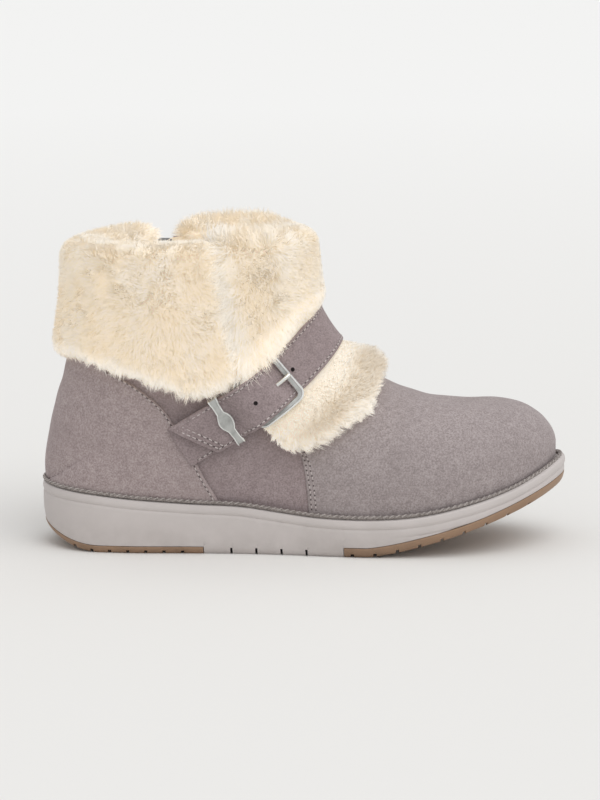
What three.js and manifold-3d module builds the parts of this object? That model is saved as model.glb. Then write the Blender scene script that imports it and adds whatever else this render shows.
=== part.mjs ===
// A women's sheepskin ankle boot for the right foot, with a turned-down fleece cuff and a buckled
// instep strap.
// Millimetres. +X runs from heel to toe, +Y to the inner side of the foot, +Z up from the floor.
import * as THREE from "three";
import { mergeVertices } from "three/addons/utils/BufferGeometryUtils.js";
import Module from "manifold-3d";

const wasm = await Module();
wasm.setup();

// ---------------------------------------------------------------- driving sizes
const soleLength = 265;
const gap = 0.3; // between two pieces that touch
const bedding = 0.9; // under a piece laid over the upper's curves
const seat = 0.4; // between the sole's curved top and what stands on it
const wall = 6; // suede 1.5 mm with clipped fleece behind it
const padThickness = { heel: 3.6, forefoot: 4.9 }; // gum rubber under them
const heelPadEnd = 82; // the heel pad runs from the back of the heel to here
const toePadStart = 152; // the forefoot pad runs from here to the toe
const strapWidth = 23;
const strapThickness = 1.8;

// ---------------------------------------------------------------- curves through tables
// A smooth function through the rows of a table, by the names of its two columns.
function through(rows, key, value) {
  const x = rows.map((r) => r[key]);
  const y = rows.map((r) => r[value]);
  const n = x.length;
  const slope = y.map((_, i) => {
    const a = Math.max(i - 1, 0);
    const b = Math.min(i + 1, n - 1);
    return (y[b] - y[a]) / (x[b] - x[a]);
  });
  return (at) => {
    const t = Math.min(Math.max(at, x[0]), x[n - 1]);
    let i = 0;
    while (i < n - 2 && t > x[i + 1]) i++;
    const h = x[i + 1] - x[i];
    const s = (t - x[i]) / h;
    const s2 = s * s;
    const s3 = s2 * s;
    return (
      y[i] * (2 * s3 - 3 * s2 + 1) +
      slope[i] * h * (s3 - 2 * s2 + s) +
      y[i + 1] * (3 * s2 - 2 * s3) +
      slope[i + 1] * h * (s3 - s2)
    );
  };
}

const mix = (a, b, t) => a + (b - a) * t;
const clamp = (x, low, high) => Math.min(Math.max(x, low), high);
const smooth = (a, b, x) => {
  const t = clamp((x - a) / (b - a), 0, 1);
  return t * t * (3 - 2 * t);
};

// ---------------------------------------------------------------- the sole's outline from above
// Half-widths of the sole at stations from the heel: outer towards the little toe, inner towards
// the big toe.
const soleStations = [
  { x: 5, outer: 17.5, inner: 17.0 },
  { x: 18, outer: 29.5, inner: 28.5 },
  { x: 42, outer: 34.5, inner: 33.0 },
  { x: 78, outer: 35.5, inner: 31.0 },
  { x: 115, outer: 38.0, inner: 31.0 },
  { x: 150, outer: 43.5, inner: 36.5 },
  { x: 185, outer: 46.5, inner: 42.5 },
  { x: 215, outer: 43.5, inner: 43.0 },
  { x: 240, outer: 32.0, inner: 37.5 },
  { x: 257, outer: 14.5, inner: 25.0 },
];
const toeTip = { x: soleLength, y: 6 };

const outlinePoints = (() => {
  const at = (x, y) => new THREE.Vector3(x, y, 0);
  const outer = soleStations.map((s) => at(s.x, -s.outer));
  const inner = soleStations.map((s) => at(s.x, s.inner)).reverse();
  const loop = [at(0, 0), ...outer, at(toeTip.x, toeTip.y), ...inner];
  return new THREE.CatmullRomCurve3(loop, true, "centripetal").getSpacedPoints(720);
})();

// The outline moved inwards by inset, a number or a function of x, as half-widths at any x.
function outline(inset) {
  const amount = typeof inset === "function" ? inset : () => inset;
  const n = outlinePoints.length - 1;
  const moved = [];
  for (let i = 0; i < n; i++) {
    const p = outlinePoints[i];
    const a = outlinePoints[(i + n - 2) % n];
    const b = outlinePoints[(i + 2) % n];
    const run = Math.hypot(b.x - a.x, b.y - a.y);
    const d = amount(p.x);
    moved.push({ x: p.x - (d * (b.y - a.y)) / run, y: p.y + (d * (b.x - a.x)) / run });
  }
  const back = moved.reduce((m, p) => (p.x < m.x ? p : m));
  const front = moved.reduce((m, p) => (p.x > m.x ? p : m));
  const side = (sign) => {
    const chord = (p) => mix(back.y, front.y, (p.x - back.x) / (front.x - back.x));
    const points = moved.filter((p) => sign * (p.y - chord(p)) > 0);
    return [back, ...points.sort((p, q) => p.x - q.x), front];
  };
  const lookUp = (points) => (x) => {
    const at = clamp(x, back.x, front.x);
    let low = 0;
    let high = points.length - 1;
    while (high - low > 1) {
      const middle = (low + high) >> 1;
      if (points[middle].x <= at) low = middle;
      else high = middle;
    }
    const run = points[high].x - points[low].x;
    return run < 1e-9 ? points[low].y : mix(points[low].y, points[high].y, (at - points[low].x) / run);
  };
  return { back, front, outer: lookUp(side(-1)), inner: lookUp(side(1)) };
}

// ---------------------------------------------------------------- the sole's heights
const soleTop = through(
  [
    { x: 0, z: 32 },
    { x: 20, z: 30.4 },
    { x: 45, z: 27.8 },
    { x: 75, z: 25.6 },
    { x: 100, z: 24.6 },
    { x: 120, z: 22 },
    { x: 140, z: 19.8 },
    { x: 165, z: 19.3 },
    { x: 190, z: 21.2 },
    { x: 215, z: 26.4 },
    { x: 235, z: 32 },
    { x: 250, z: 37.6 },
    { x: soleLength, z: 43.6 },
  ],
  "x",
  "z",
);
const heelBevel = { length: 30, rise: 9 };
const toeSpring = { start: 163, rise: 29.7, power: 1.27 };
function soleBottom(x) {
  const heel = Math.max(0, 1 - x / heelBevel.length);
  const toe = clamp((x - toeSpring.start) / (soleLength - toeSpring.start), 0, 1);
  return heelBevel.rise * heel ** 2 + toeSpring.rise * toe ** toeSpring.power;
}

// ---------------------------------------------------------------- solids
// A geometry from points and triangles, without the triangles that have no area, and with its faces
// pointing out.
function geometryOf(positions, triangles) {
  const geometry = new THREE.BufferGeometry();
  geometry.setAttribute("position", new THREE.Float32BufferAttribute(positions.flat(), 3));
  geometry.setIndex(triangles.flat());
  const merged = mergeVertices(geometry, 1e-3);
  const point = (k) => new THREE.Vector3().fromBufferAttribute(merged.attributes.position, k);
  const kept = [];
  let volume = 0;
  for (let i = 0; i < merged.index.count; i += 3) {
    const corners = [0, 1, 2].map((k) => merged.index.getX(i + k));
    if (new Set(corners).size < 3) continue;
    const [a, b, c] = corners.map(point);
    volume += a.dot(b.cross(c));
    kept.push(corners);
  }
  merged.setIndex(kept.flatMap(([a, b, c]) => (volume < 0 ? [a, c, b] : [a, b, c])));
  return merged;
}

function manifoldOf(geometry) {
  const bare = geometry.clone();
  bare.deleteAttribute("normal");
  bare.deleteAttribute("uv");
  const merged = mergeVertices(bare, 1e-4);
  return new wasm.Manifold(
    new wasm.Mesh({
      numProp: 3,
      vertProperties: merged.attributes.position.array,
      triVerts: new Uint32Array(merged.index.array),
    }),
  );
}

const box = (x, y, z, width, depth, height, turn = 0) =>
  manifoldOf(new THREE.BoxGeometry(width, depth, height).rotateZ(turn).translate(x, y, z));

function geometryFrom(solid) {
  const mesh = solid.getMesh();
  const geometry = new THREE.BufferGeometry();
  geometry.setAttribute("position", new THREE.BufferAttribute(mesh.vertProperties, 3));
  geometry.setIndex(new THREE.BufferAttribute(mesh.triVerts, 1));
  return geometry;
}

// Joins two rows of points of the same length with a strip of triangles.
function strip(triangles, a, b) {
  for (let i = 0; i + 1 < a.length; i++) {
    triangles.push([a[i], a[i + 1], b[i + 1]], [a[i], b[i + 1], b[i]]);
  }
}

// Stations from back to front, closer together at the round ends.
const stations = (count) =>
  Array.from({ length: count + 1 }, (_, i) => (1 - Math.cos((Math.PI * i) / count)) / 2);

// A loop round an outline at stations along it, at the height that z gives for each x.
function loopOf(shape, z, count) {
  const along = stations(count).map((s) => mix(shape.back.x, shape.front.x, s));
  const point = (x, y) => [x, y, z(x)];
  const outer = along.slice(1, -1).map((x) => point(x, shape.outer(x)));
  const inner = along.slice(1, -1).map((x) => point(x, shape.inner(x)));
  return [
    point(shape.back.x, shape.back.y),
    ...outer,
    point(shape.front.x, shape.front.y),
    ...inner.reverse(),
  ];
}

// A closed solid from a stack of loops, lowest first, with its ends filled across.
function stack(rings, count) {
  const loops = rings.map((r) => loopOf(r.shape, r.z, count));
  const size = loops[0].length;
  const positions = loops.flat();
  const triangles = [];
  const row = (k) => Array.from({ length: size + 1 }, (_, i) => k * size + (i % size));
  for (let k = 0; k + 1 < loops.length; k++) strip(triangles, row(k), row(k + 1));
  const fill = (k, up) => {
    const outer = Array.from({ length: count + 1 }, (_, i) => k * size + i);
    const inner = outer.map((_, i) => (i === 0 || i === count ? k * size + i : k * size + size - i));
    const made = [];
    strip(made, outer, inner);
    triangles.push(...(up ? made : made.map(([a, b, c]) => [a, c, b])));
  };
  fill(0, false);
  fill(loops.length - 1, true);
  return geometryOf(positions, triangles);
}

// A closed band from four loops that go round its section.
function band(loops) {
  const size = loops[0].length;
  const triangles = [];
  const row = (k) => Array.from({ length: size + 1 }, (_, i) => (k % loops.length) * size + (i % size));
  for (let k = 0; k < loops.length; k++) strip(triangles, row(k), row(k + 1));
  return geometryOf(loops.flat(), triangles);
}

// A closed solid between two sheets of points with the same rows and columns, outside facing out.
// A first row or a side that already meets itself is left unfilled: sideRows counts the rows whose
// two sides are apart.
function between(outside, inside, { firstRow = true, sideRows = outside.length } = {}) {
  const rows = outside.length;
  const columns = outside[0].length;
  const start = rows * columns;
  const positions = [...outside.flat(), ...inside.flat()];
  const out = (i) => Array.from({ length: columns }, (_, j) => i * columns + j);
  const back = (i) => out(i).map((k) => k + start);
  const edge = (j, shift) => Array.from({ length: sideRows }, (_, i) => i * columns + j + shift);
  const triangles = [];
  for (let i = 0; i + 1 < rows; i++) {
    strip(triangles, out(i), out(i + 1));
    strip(triangles, back(i + 1), back(i));
  }
  if (firstRow) strip(triangles, back(0), out(0));
  strip(triangles, out(rows - 1), back(rows - 1));
  strip(triangles, edge(0, 0), edge(0, start));
  strip(triangles, edge(columns - 1, start), edge(columns - 1, 0));
  return geometryOf(positions, triangles);
}

// ---------------------------------------------------------------- the upper's surface on its last
// Sections fan round the ankle from upright at the toe to nearly level at the collar. Each one runs from the
// feather edge or the back seam (bx, bz) to the ridge over toe, instep and front of the shaft (tx, tz).
// ridge: how far the ridge lies to the inner side. outer, inner: how far the widest point stands out past the
// feather edge. rise: its share of the section's height. full: how square the section is over the top.
const sections = [
  { bx: 259.7, tx: 259.7, tz: 50.5, ridge: 6.0, outer: 0.0, inner: 0.0, rise: 0.5, full: 2.1 },
  { bx: 259.2, tx: 259.3, tz: 54.3, ridge: 6.1, outer: 0.3, inner: 0.3, rise: 0.45, full: 2.1 },
  { bx: 256.3, tx: 256.8, tz: 58.9, ridge: 6.3, outer: 0.8, inner: 0.8, rise: 0.42, full: 2.15 },
  { bx: 251.0, tx: 251.5, tz: 64.4, ridge: 6.5, outer: 1.2, inner: 1.2, rise: 0.38, full: 2.2 },
  { bx: 242.0, tx: 242.5, tz: 69.4, ridge: 6.3, outer: 1.6, inner: 1.4, rise: 0.34, full: 2.3 },
  { bx: 229.0, tx: 229.5, tz: 71.8, ridge: 5.8, outer: 1.8, inner: 1.6, rise: 0.3, full: 2.35 },
  { bx: 213.0, tx: 213.5, tz: 71.8, ridge: 5.0, outer: 1.8, inner: 1.6, rise: 0.28, full: 2.35 },
  { bx: 196.0, tx: 197.0, tz: 73.8, ridge: 4.0, outer: 1.6, inner: 1.6, rise: 0.26, full: 2.25 },
  { bx: 178.0, tx: 181.5, tz: 78.8, ridge: 3.0, outer: 1.4, inner: 1.8, rise: 0.25, full: 2.1 },
  { bx: 159.0, tx: 168.5, tz: 84.9, ridge: 2.2, outer: 1.2, inner: 2.5, rise: 0.25, full: 2.0 },
  { bx: 138.0, tx: 158.8, tz: 91.2, ridge: 1.5, outer: 1.5, inner: 4.0, rise: 0.28, full: 2.0 },
  { bx: 114.0, tx: 150.5, tz: 98.8, ridge: 1.0, outer: 2.2, inner: 6.0, rise: 0.32, full: 2.0 },
  { bx: 87.0, tx: 143.8, tz: 106.6, ridge: 0.5, outer: 3.5, inner: 7.5, rise: 0.38, full: 2.05 },
  { bx: 58.0, tx: 139.0, tz: 114.2, ridge: 0.2, outer: 5.5, inner: 7.5, rise: 0.44, full: 2.1 },
  { bx: 33.0, tx: 135.8, tz: 120.8, ridge: 0.0, outer: 8.0, inner: 9.0, rise: 0.48, full: 2.15 },
  { bx: 14.5, tx: 133.9, tz: 126.4, ridge: 0.0, outer: 15.0, inner: 15.5, rise: 0.5, full: 2.2 },
  { bx: 6.0, tx: 132.8, tz: 131.2, ridge: 0.0, outer: 26.0, inner: 26.0, rise: 0.5, full: 2.2 },
  { bx: 3.2, bz: 32.1, tx: 132.2, tz: 135.3, ridge: 0.0, outer: 38.5, inner: 38.5, rise: 0.5, full: 2.2 },
  { bx: 2.5, bz: 40.0, tx: 131.7, tz: 138.8, ridge: 0.0, outer: 38.8, inner: 38.8, rise: 0.5, full: 2.2 },
  { bx: 3.6, bz: 51.0, tx: 131.3, tz: 141.9, ridge: 0.0, outer: 39.2, inner: 39.2, rise: 0.5, full: 2.2 },
  { bx: 6.3, bz: 64.0, tx: 131.0, tz: 144.6, ridge: 0.0, outer: 39.8, inner: 39.8, rise: 0.5, full: 2.2 },
  { bx: 9.8, bz: 78.0, tx: 130.7, tz: 147.0, ridge: 0.0, outer: 40.4, inner: 40.4, rise: 0.5, full: 2.2 },
  { bx: 14.0, bz: 93.0, tx: 130.4, tz: 149.1, ridge: 0.0, outer: 41.0, inner: 41.0, rise: 0.5, full: 2.2 },
  { bx: 17.6, bz: 109.0, tx: 130.2, tz: 150.9, ridge: 0.0, outer: 41.5, inner: 41.5, rise: 0.5, full: 2.2 },
  { bx: 20.0, bz: 127.0, tx: 130.1, tz: 152.4, ridge: 0.0, outer: 42.0, inner: 42.0, rise: 0.5, full: 2.2 },
  { bx: 21.0, bz: 148.0, tx: 130.0, tz: 153.5, ridge: 0.0, outer: 42.5, inner: 42.5, rise: 0.5, full: 2.2 },
];
const collar = sections.length - 1;
// From here up a section closes at the back of the heel.
const heelSection = sections.findIndex((s) => s.bz !== undefined);
const widest = 0.6; // the share of v from the ridge to the widest point
const featherInset = (x) => mix(3.4, 4.8, smooth(120, soleLength, x));
const feather = outline(featherInset);

Object.assign(sections[0], { bx: feather.front.x, tx: feather.front.x, ridge: feather.front.y });
sections.forEach((s, at) => {
  const open = at < heelSection;
  s.at = at;
  s.outerWidest = (open ? feather.outer(s.bx) : 0) - s.outer;
  s.innerWidest = (open ? feather.inner(s.bx) : 0) + s.inner;
  if (open) s.bz = soleTop(s.bx) + seat;
});
const column = Object.fromEntries(
  ["bx", "bz", "tx", "tz", "ridge", "outerWidest", "innerWidest", "rise", "full"].map((name) => [
    name,
    through(sections, "at", name),
  ]),
);
function lowEnd(u) {
  const x = column.bx(u);
  return { x, z: u < heelSection ? soleTop(x) + seat : column.bz(u) };
}

// A point of the outside. u counts sections from the toe to the collar. v is 0 on the ridge, -1 down
// the outer side and 1 down the inner side; past -1 it runs on round the back to the inner side.
function surface(u, turn) {
  const v = turn < -1 ? turn + 2 : turn > 1 ? turn - 2 : turn;
  const outerSide = v < 0;
  const low = lowEnd(u);
  const edge = u < heelSection ? (outerSide ? feather.outer(low.x) : feather.inner(low.x)) : 0;
  const side = outerSide ? column.outerWidest(u) : column.innerWidest(u);
  const ridge = column.ridge(u);
  const rise = column.rise(u);
  const away = Math.abs(v);
  let y;
  let h;
  if (away < widest) {
    const power = 2 / column.full(u);
    const angle = (Math.PI / 2) * (1 - away / widest);
    y = ridge + (side - ridge) * Math.cos(angle) ** power;
    h = rise + (1 - rise) * Math.sin(angle) ** power;
  } else {
    const t = (1 - away) / (1 - widest);
    const share = Math.abs(side - ridge) < 1e-6 ? 1 : clamp((edge - ridge) / (side - ridge), 0, 1);
    y = edge + (side - edge) * (1 - (1 - t) ** 2) ** (1 / (2 - share));
    h = rise * t;
  }
  return new THREE.Vector3(mix(low.x, column.tx(u), h), y, mix(low.z, column.tz(u), h));
}

function normal(u, v) {
  const step = 0.02;
  const closed = u >= heelSection;
  const u0 = clamp(u - step, closed ? heelSection : 0, collar);
  const u1 = Math.min(u0 + 2 * step, collar);
  const v0 = closed ? v - step : clamp(v - step, -1, 1);
  const v1 = closed ? v + step : clamp(v + step, -1, 1);
  const alongU = surface(u1, v).sub(surface(u0, v));
  const alongV = surface(u, v1).sub(surface(u, v0));
  return alongV.cross(alongU).normalize();
}

const raised = (u, v, height) => surface(u, v).addScaledVector(normal(u, v), height);

// The u and v of a place given as it is seen from the side: x and z, on the outer (-1) or the inner (1)
// side.
function place(x, z, side) {
  let low = 0;
  let high = collar;
  const past = (u) => {
    const b = lowEnd(u);
    return (column.tx(u) - b.x) * (z - b.z) - (column.tz(u) - b.z) * (x - b.x);
  };
  for (let k = 0; k < 40; k++) {
    const middle = (low + high) / 2;
    if (past(middle) > 0) low = middle;
    else high = middle;
  }
  const u = (low + high) / 2;
  const b = lowEnd(u);
  const run = Math.hypot(column.tx(u) - b.x, column.tz(u) - b.z);
  const h = clamp(Math.hypot(x - b.x, z - b.z) / run, 0, 1);
  const rise = column.rise(u);
  if (h < rise) return { u, v: side * (1 - (h / rise) * (1 - widest)) };
  const angle = Math.asin(((h - rise) / (1 - rise)) ** (column.full(u) / 2));
  return { u, v: side * widest * (1 - angle / (Math.PI / 2)) };
}

// ---------------------------------------------------------------- upper
// Places round a section, closer together at the round back of the heel and shaft.
const around = (() => {
  const side = [...Array(6)].map((_, k) => 1 - (1 - widest) * (k / 6) ** 1.7);
  const top = [...Array(7)].map((_, k) => widest * (1 - k / 7));
  const half = [...side, ...top];
  return [...half.map((v) => -v), 0, ...half.reverse()];
})();

// Where the slider parks, in the collar's inner side.
const zipNotch = { x: 61, y: 40, bottom: 142, width: 9, reach: 40 };

function makeUpper() {
  const rows = sections.flatMap((s) => (s.at > 6 && s.at < heelSection - 2 ? [s.at, s.at + 0.5] : [s.at]));
  const outside = rows.map((u) => around.map((v) => surface(u, v).toArray()));
  const inside = rows.map((u) =>
    around.map((v) => {
      const out = normal(u, v);
      const atEdge = Math.abs(v) === 1;
      if (u === 0 || (atEdge && u >= heelSection)) out.y = 0;
      if (u === 0 || u === collar || (atEdge && u <= heelSection)) out.z = 0;
      const p = surface(u, v).addScaledVector(out.normalize(), -wall);
      if (atEdge && u <= heelSection) p.z = soleTop(p.x) + seat;
      return p.toArray();
    }),
  );
  const sideRows = rows.indexOf(heelSection) + 1;
  const skin = manifoldOf(between(outside, inside, { firstRow: false, sideRows }));
  const { x, y, bottom, width, reach } = zipNotch;
  const notch = box(x, y, bottom + reach / 2, width, reach, reach);
  return geometryFrom(skin.subtract(notch));
}

// ---------------------------------------------------------------- sole
const soleShape = {
  ground: outline(3.2), // the bottom edge
  low: outline(1.2),
  bulge: outline(0),
  top: outline(0.8),
};
const soleWide = outline(-8);
const soleStationCount = 38;
const beyond = { under: -20, behind: -20, ahead: 300, across: 200, tall: 300 }; // past the sole all round
const toePadSwell = { share: 0.2, from: 210, to: 255 }; // the forefoot pad thickens under the toe

function wholeSole() {
  const along = (share) => (x) => mix(soleBottom(x), soleTop(x), share);
  return manifoldOf(
    stack(
      [
        { shape: soleShape.ground, z: soleBottom },
        { shape: soleShape.low, z: along(0.12) },
        { shape: soleShape.bulge, z: along(0.5) },
        { shape: soleShape.bulge, z: along(0.8) },
        { shape: soleShape.top, z: soleTop },
      ],
      soleStationCount,
    ),
  );
}

// Everything below a height that follows the sole's bottom, between two stations.
function below(height, from, to) {
  const { share, from: swellFrom, to: swellTo } = toePadSwell;
  const swell = (x) => 1 + share * smooth(swellFrom, swellTo, x);
  const slab = manifoldOf(
    stack(
      [
        { shape: soleWide, z: () => beyond.under },
        { shape: soleWide, z: (x) => soleBottom(x) + height * swell(x) },
      ],
      soleStationCount,
    ),
  );
  return slab.intersect(box((from + to) / 2, 0, 0, to - from, beyond.across, beyond.tall));
}

// A straight groove across the sole at a station, cut to a depth from the bottom.
const cutter = { across: 120, under: 10 };
const groove = (x, width, depth) =>
  box(x, 0, soleBottom(x) + (depth - cutter.under) / 2, width, cutter.across, depth + cutter.under);

const forefootGrooves = { first: 156, pitch: 11.2, count: 9, width: 1.6, depth: 1.7 };
const heelGrooves = { first: 16.5, pitch: 9.2, count: 7, width: 1.6, depth: 1.5 };
const waistSipes = { first: 96, pitch: 12.4, count: 4, width: 1.1, depth: 3.4 };

const rowOf = (g) => [...Array(g.count)].map((_, i) => groove(g.first + g.pitch * i, g.width, g.depth));

function makeSole() {
  const whole = wholeSole();
  const { heel, forefoot } = padThickness;
  const cutHeel = below(heel + gap, beyond.behind, heelPadEnd + gap);
  const cutToe = below(forefoot + gap, toePadStart - gap, beyond.ahead);
  const heelPad = whole.intersect(below(heel, beyond.behind, heelPadEnd));
  const toePad = whole.intersect(below(forefoot, toePadStart, beyond.ahead));
  return {
    midsole: geometryFrom(wasm.Manifold.difference([whole, cutHeel, cutToe, ...rowOf(waistSipes)])),
    heelPad: geometryFrom(wasm.Manifold.difference([heelPad, ...rowOf(heelGrooves)])),
    toePad: geometryFrom(wasm.Manifold.difference([toePad, ...rowOf(forefootGrooves)])),
  };
}

// ---------------------------------------------------------------- welt and insole
const weltWidth = 2.1;
const weltHeight = 1.7;
const weltClear = 1.3; // the upper bulges a little over its own feather edge
function makeWelt() {
  const out = outline((x) => featherInset(x) - weltClear - weltWidth);
  const inn = outline((x) => featherInset(x) - weltClear);
  const low = (x) => soleTop(x) + gap;
  const high = (x) => soleTop(x) + gap + weltHeight;
  return band([
    loopOf(inn, low, soleStationCount),
    loopOf(out, low, soleStationCount),
    loopOf(out, high, soleStationCount),
    loopOf(inn, high, soleStationCount),
  ]);
}

const insoleThickness = 9; // a footbed covered with the same fleece
function makeInsole() {
  const side = outline((x) => featherInset(x) + wall + 1.8);
  const top = outline((x) => featherInset(x) + wall + 4);
  return stack(
    [
      { shape: side, z: (x) => soleTop(x) + gap },
      { shape: side, z: (x) => soleTop(x) + gap + insoleThickness - 2 },
      { shape: top, z: (x) => soleTop(x) + gap + insoleThickness },
    ],
    28,
  );
}

// ---------------------------------------------------------------- heel counter
const counterSeam = [
  { z: 20, x: 92 },
  { z: 28, x: 89 },
  { z: 38, x: 83.3 },
  { z: 48, x: 78.4 },
  { z: 56.5, x: 73.5 },
  { z: 65, x: 68.7 },
  { z: 72.5, x: 63.8 },
  { z: 79.5, x: 56.5 },
  { z: 86.5, x: 46.7 },
  { z: 90.5, x: 38 },
  { z: 95.5, x: 28.5 },
];
const counterTop = 95.5;
const counterThickness = 1.3;
function makeCounter() {
  const rows = 10;
  const columns = 15;
  const seam = through(counterSeam, "z", "x");
  const sole = (x) => soleTop(x) + seat + weltHeight + 1.2;
  const backOf = (z) => {
    let u = heelSection;
    while (u < collar && column.bz(u) < z) u += 0.01;
    return column.bx(u);
  };
  const spot = (r, t) => {
    let x = 60;
    const height = (at) => mix(sole(at), counterTop, r);
    for (let k = 0; k < 30; k++) x = seam(height(x));
    const back = backOf(height(4)) + 0.02;
    const at = back + (x - back) * t * t;
    return place(at, height(at), t < 0 ? -1 : 1);
  };
  const grid = Array.from({ length: rows + 1 }, (_, i) =>
    Array.from({ length: 2 * columns + 1 }, (_, j) => spot(i / rows, (columns - j) / columns)),
  );
  const sheet = (height) => grid.map((row) => row.map(({ u, v }) => raised(u, v, height).toArray()));
  return between(sheet(bedding + counterThickness), sheet(bedding));
}

// ---------------------------------------------------------------- a route over the boot
// More rows on the same smooth line, all on one side.
function denser(rows, count) {
  const numbered = rows.map((r, i) => ({ ...r, i }));
  const x = through(numbered, "i", "x");
  const z = through(numbered, "i", "z");
  return [...Array(count + 1)].map((_, k) => {
    const i = ((rows.length - 1) * k) / count;
    return { x: x(i), z: z(i), side: rows[0].side };
  });
}

// Follows rows of places seen from the side. at(s, w, height) is the point s along it, w across it and
// height above the surface; across points to the left of the way that it runs.
function route(rows) {
  const crosses = rows.some((r) => r.side !== rows[0].side); // over the ridge from one side to the other
  const placed = (crosses ? rows : denser(rows, 24)).map(({ x, z, side }) => place(x, z, side));
  const along = placed.map((p, i) => ({ ...p, key: crosses ? p.v : i }));
  const u = through(along, "key", "u");
  const v = through(along, "key", "v");
  const from = along[0].key;
  const to = along[along.length - 1].key;
  const samples = [{ s: 0, key: from }];
  const steps = 300;
  for (let i = 1; i <= steps; i++) {
    const key = mix(from, to, i / steps);
    const last = samples[i - 1];
    const run = surface(u(key), v(key)).distanceTo(surface(u(last.key), v(last.key)));
    samples.push({ s: last.s + run, key });
  }
  const length = samples[steps].s;
  const keyAt = (s) => {
    const i = clamp(samples.findIndex((q) => q.s >= s), 1, steps);
    const a = samples[s > length ? steps - 1 : i - 1];
    const b = samples[s > length ? steps : i];
    return mix(a.key, b.key, (s - a.s) / (b.s - a.s));
  };
  const at = (s, w, height) => {
    const ahead = keyAt(Math.min(s + 0.5, length));
    const behind = keyAt(Math.max(s - 0.5, 0));
    const forward = surface(u(ahead), v(ahead)).sub(surface(u(behind), v(behind))).normalize();
    let here = { u: u(keyAt(s)), v: v(keyAt(s)) };
    const strides = Math.ceil(Math.abs(w) / 3);
    for (let k = 0; k < strides; k++) {
      const across = normal(here.u, here.v).cross(forward).normalize().multiplyScalar(w / strides);
      const e = 0.01;
      const alongU = surface(here.u + e, here.v).sub(surface(here.u - e, here.v)).divideScalar(2 * e);
      const alongV = surface(here.u, here.v + e).sub(surface(here.u, here.v - e)).divideScalar(2 * e);
      const uu = alongU.dot(alongU);
      const uv = alongU.dot(alongV);
      const vv = alongV.dot(alongV);
      const a = alongU.dot(across);
      const b = alongV.dot(across);
      const det = uu * vv - uv * uv;
      here = { u: here.u + (a * vv - b * uv) / det, v: here.v + (b * uu - a * uv) / det };
    }
    return raised(here.u, here.v, height);
  };
  return { length, at, sectionAt: u };
}

// Carries a geometry drawn flat, with x along a route, y across it and z above the surface, onto the boot.
function laid(way, geometry) {
  const flat = geometry.attributes.position;
  const positions = [];
  for (let i = 0; i < flat.count; i++) {
    positions.push(way.at(flat.getX(i), flat.getY(i), flat.getZ(i)).toArray());
  }
  const index = Array.from(geometry.index.array);
  return geometryOf(positions, index);
}

// A flat strip: rows of how far along, the height of its underside and its half-width; slant shears
// its ends.
function flatStrip(rows, thickness) {
  const across = [-1, 0, 1];
  const point = (r, w, lift) => [r.s + (r.slant ?? 0) * w, w * r.half, r.low + lift];
  const sheet = (lift) => rows.map((r) => across.map((w) => point(r, w, lift)));
  return between(sheet(thickness), sheet(0));
}

// ---------------------------------------------------------------- strap, buckle and keeper
const strapRoute = route([
  { x: 70.2, z: 54.8, side: -1 },
  { x: 85.2, z: 64.1, side: -1 },
  { x: 101.2, z: 74.4, side: -1 },
  { x: 116.2, z: 85.0, side: -1 },
  { x: 129, z: 96.1, side: -1 },
  { x: 137.6, z: 105.0, side: -1 },
  { x: 142, z: 110.0, side: -1 },
  { x: 138, z: 103.8, side: 1 },
  { x: 128.6, z: 92.4, side: 1 },
  { x: 116, z: 79.4, side: 1 },
  { x: 105, z: 68.3, side: 1 },
  { x: 97, z: 60.5, side: 1 },
]);
const furUnder = 1.3; // fleece pressed flat by the strap
const buckle = {
  hinge: 40, // along the strap, from its tip
  length: 23.5,
  width: 29,
  bar: 1.35, // the bar's radius
  height: 5.9,
  corner: 3.4,
};
const rightBar = buckle.hinge + buckle.length;
const anchorThickness = 1.3;
const overFur = bedding + furUnder + 2 * gap;

// The strap's underside above the surface, along it.
const strapLow = through(
  [
    { s: 0, h: 2.6 },
    { s: 12, h: 3.4 },
    { s: 22, h: 4.3 },
    { s: 28, h: 4.3 },
    { s: 32, h: 4.4 },
    { s: buckle.hinge - 4.4, h: 8.0 },
    { s: buckle.hinge, h: 9.8 },
    { s: buckle.hinge + 7, h: 9.4 },
    { s: buckle.hinge + 13, h: 8.6 },
    { s: rightBar - 3, h: overFur + 0.2 },
    { s: rightBar + 4, h: overFur },
    { s: rightBar + 30, h: overFur },
    { s: 400, h: overFur },
  ],
  "s",
  "h",
);

function makeStrap() {
  const count = 54;
  const tip = { s: 6.8, slant: 5.6 }; // cut on a slant, longest at the upper edge
  const end = strapRoute.length - 2;
  const rows = [...Array(count + 1)].map((_, i) => {
    const s = mix(tip.s, end, i / count);
    return { s, low: strapLow(s), half: strapWidth / 2, slant: -tip.slant * smooth(24, 6, s) };
  });
  const flat = manifoldOf(flatStrip(rows, strapThickness));
  const holeAt = rightBar - 7.2; // where the prong comes up
  const hole = box(holeAt, 0, strapLow(holeAt), 7, 3.6, 12);
  return laid(strapRoute, geometryFrom(flat.subtract(hole)));
}

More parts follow.
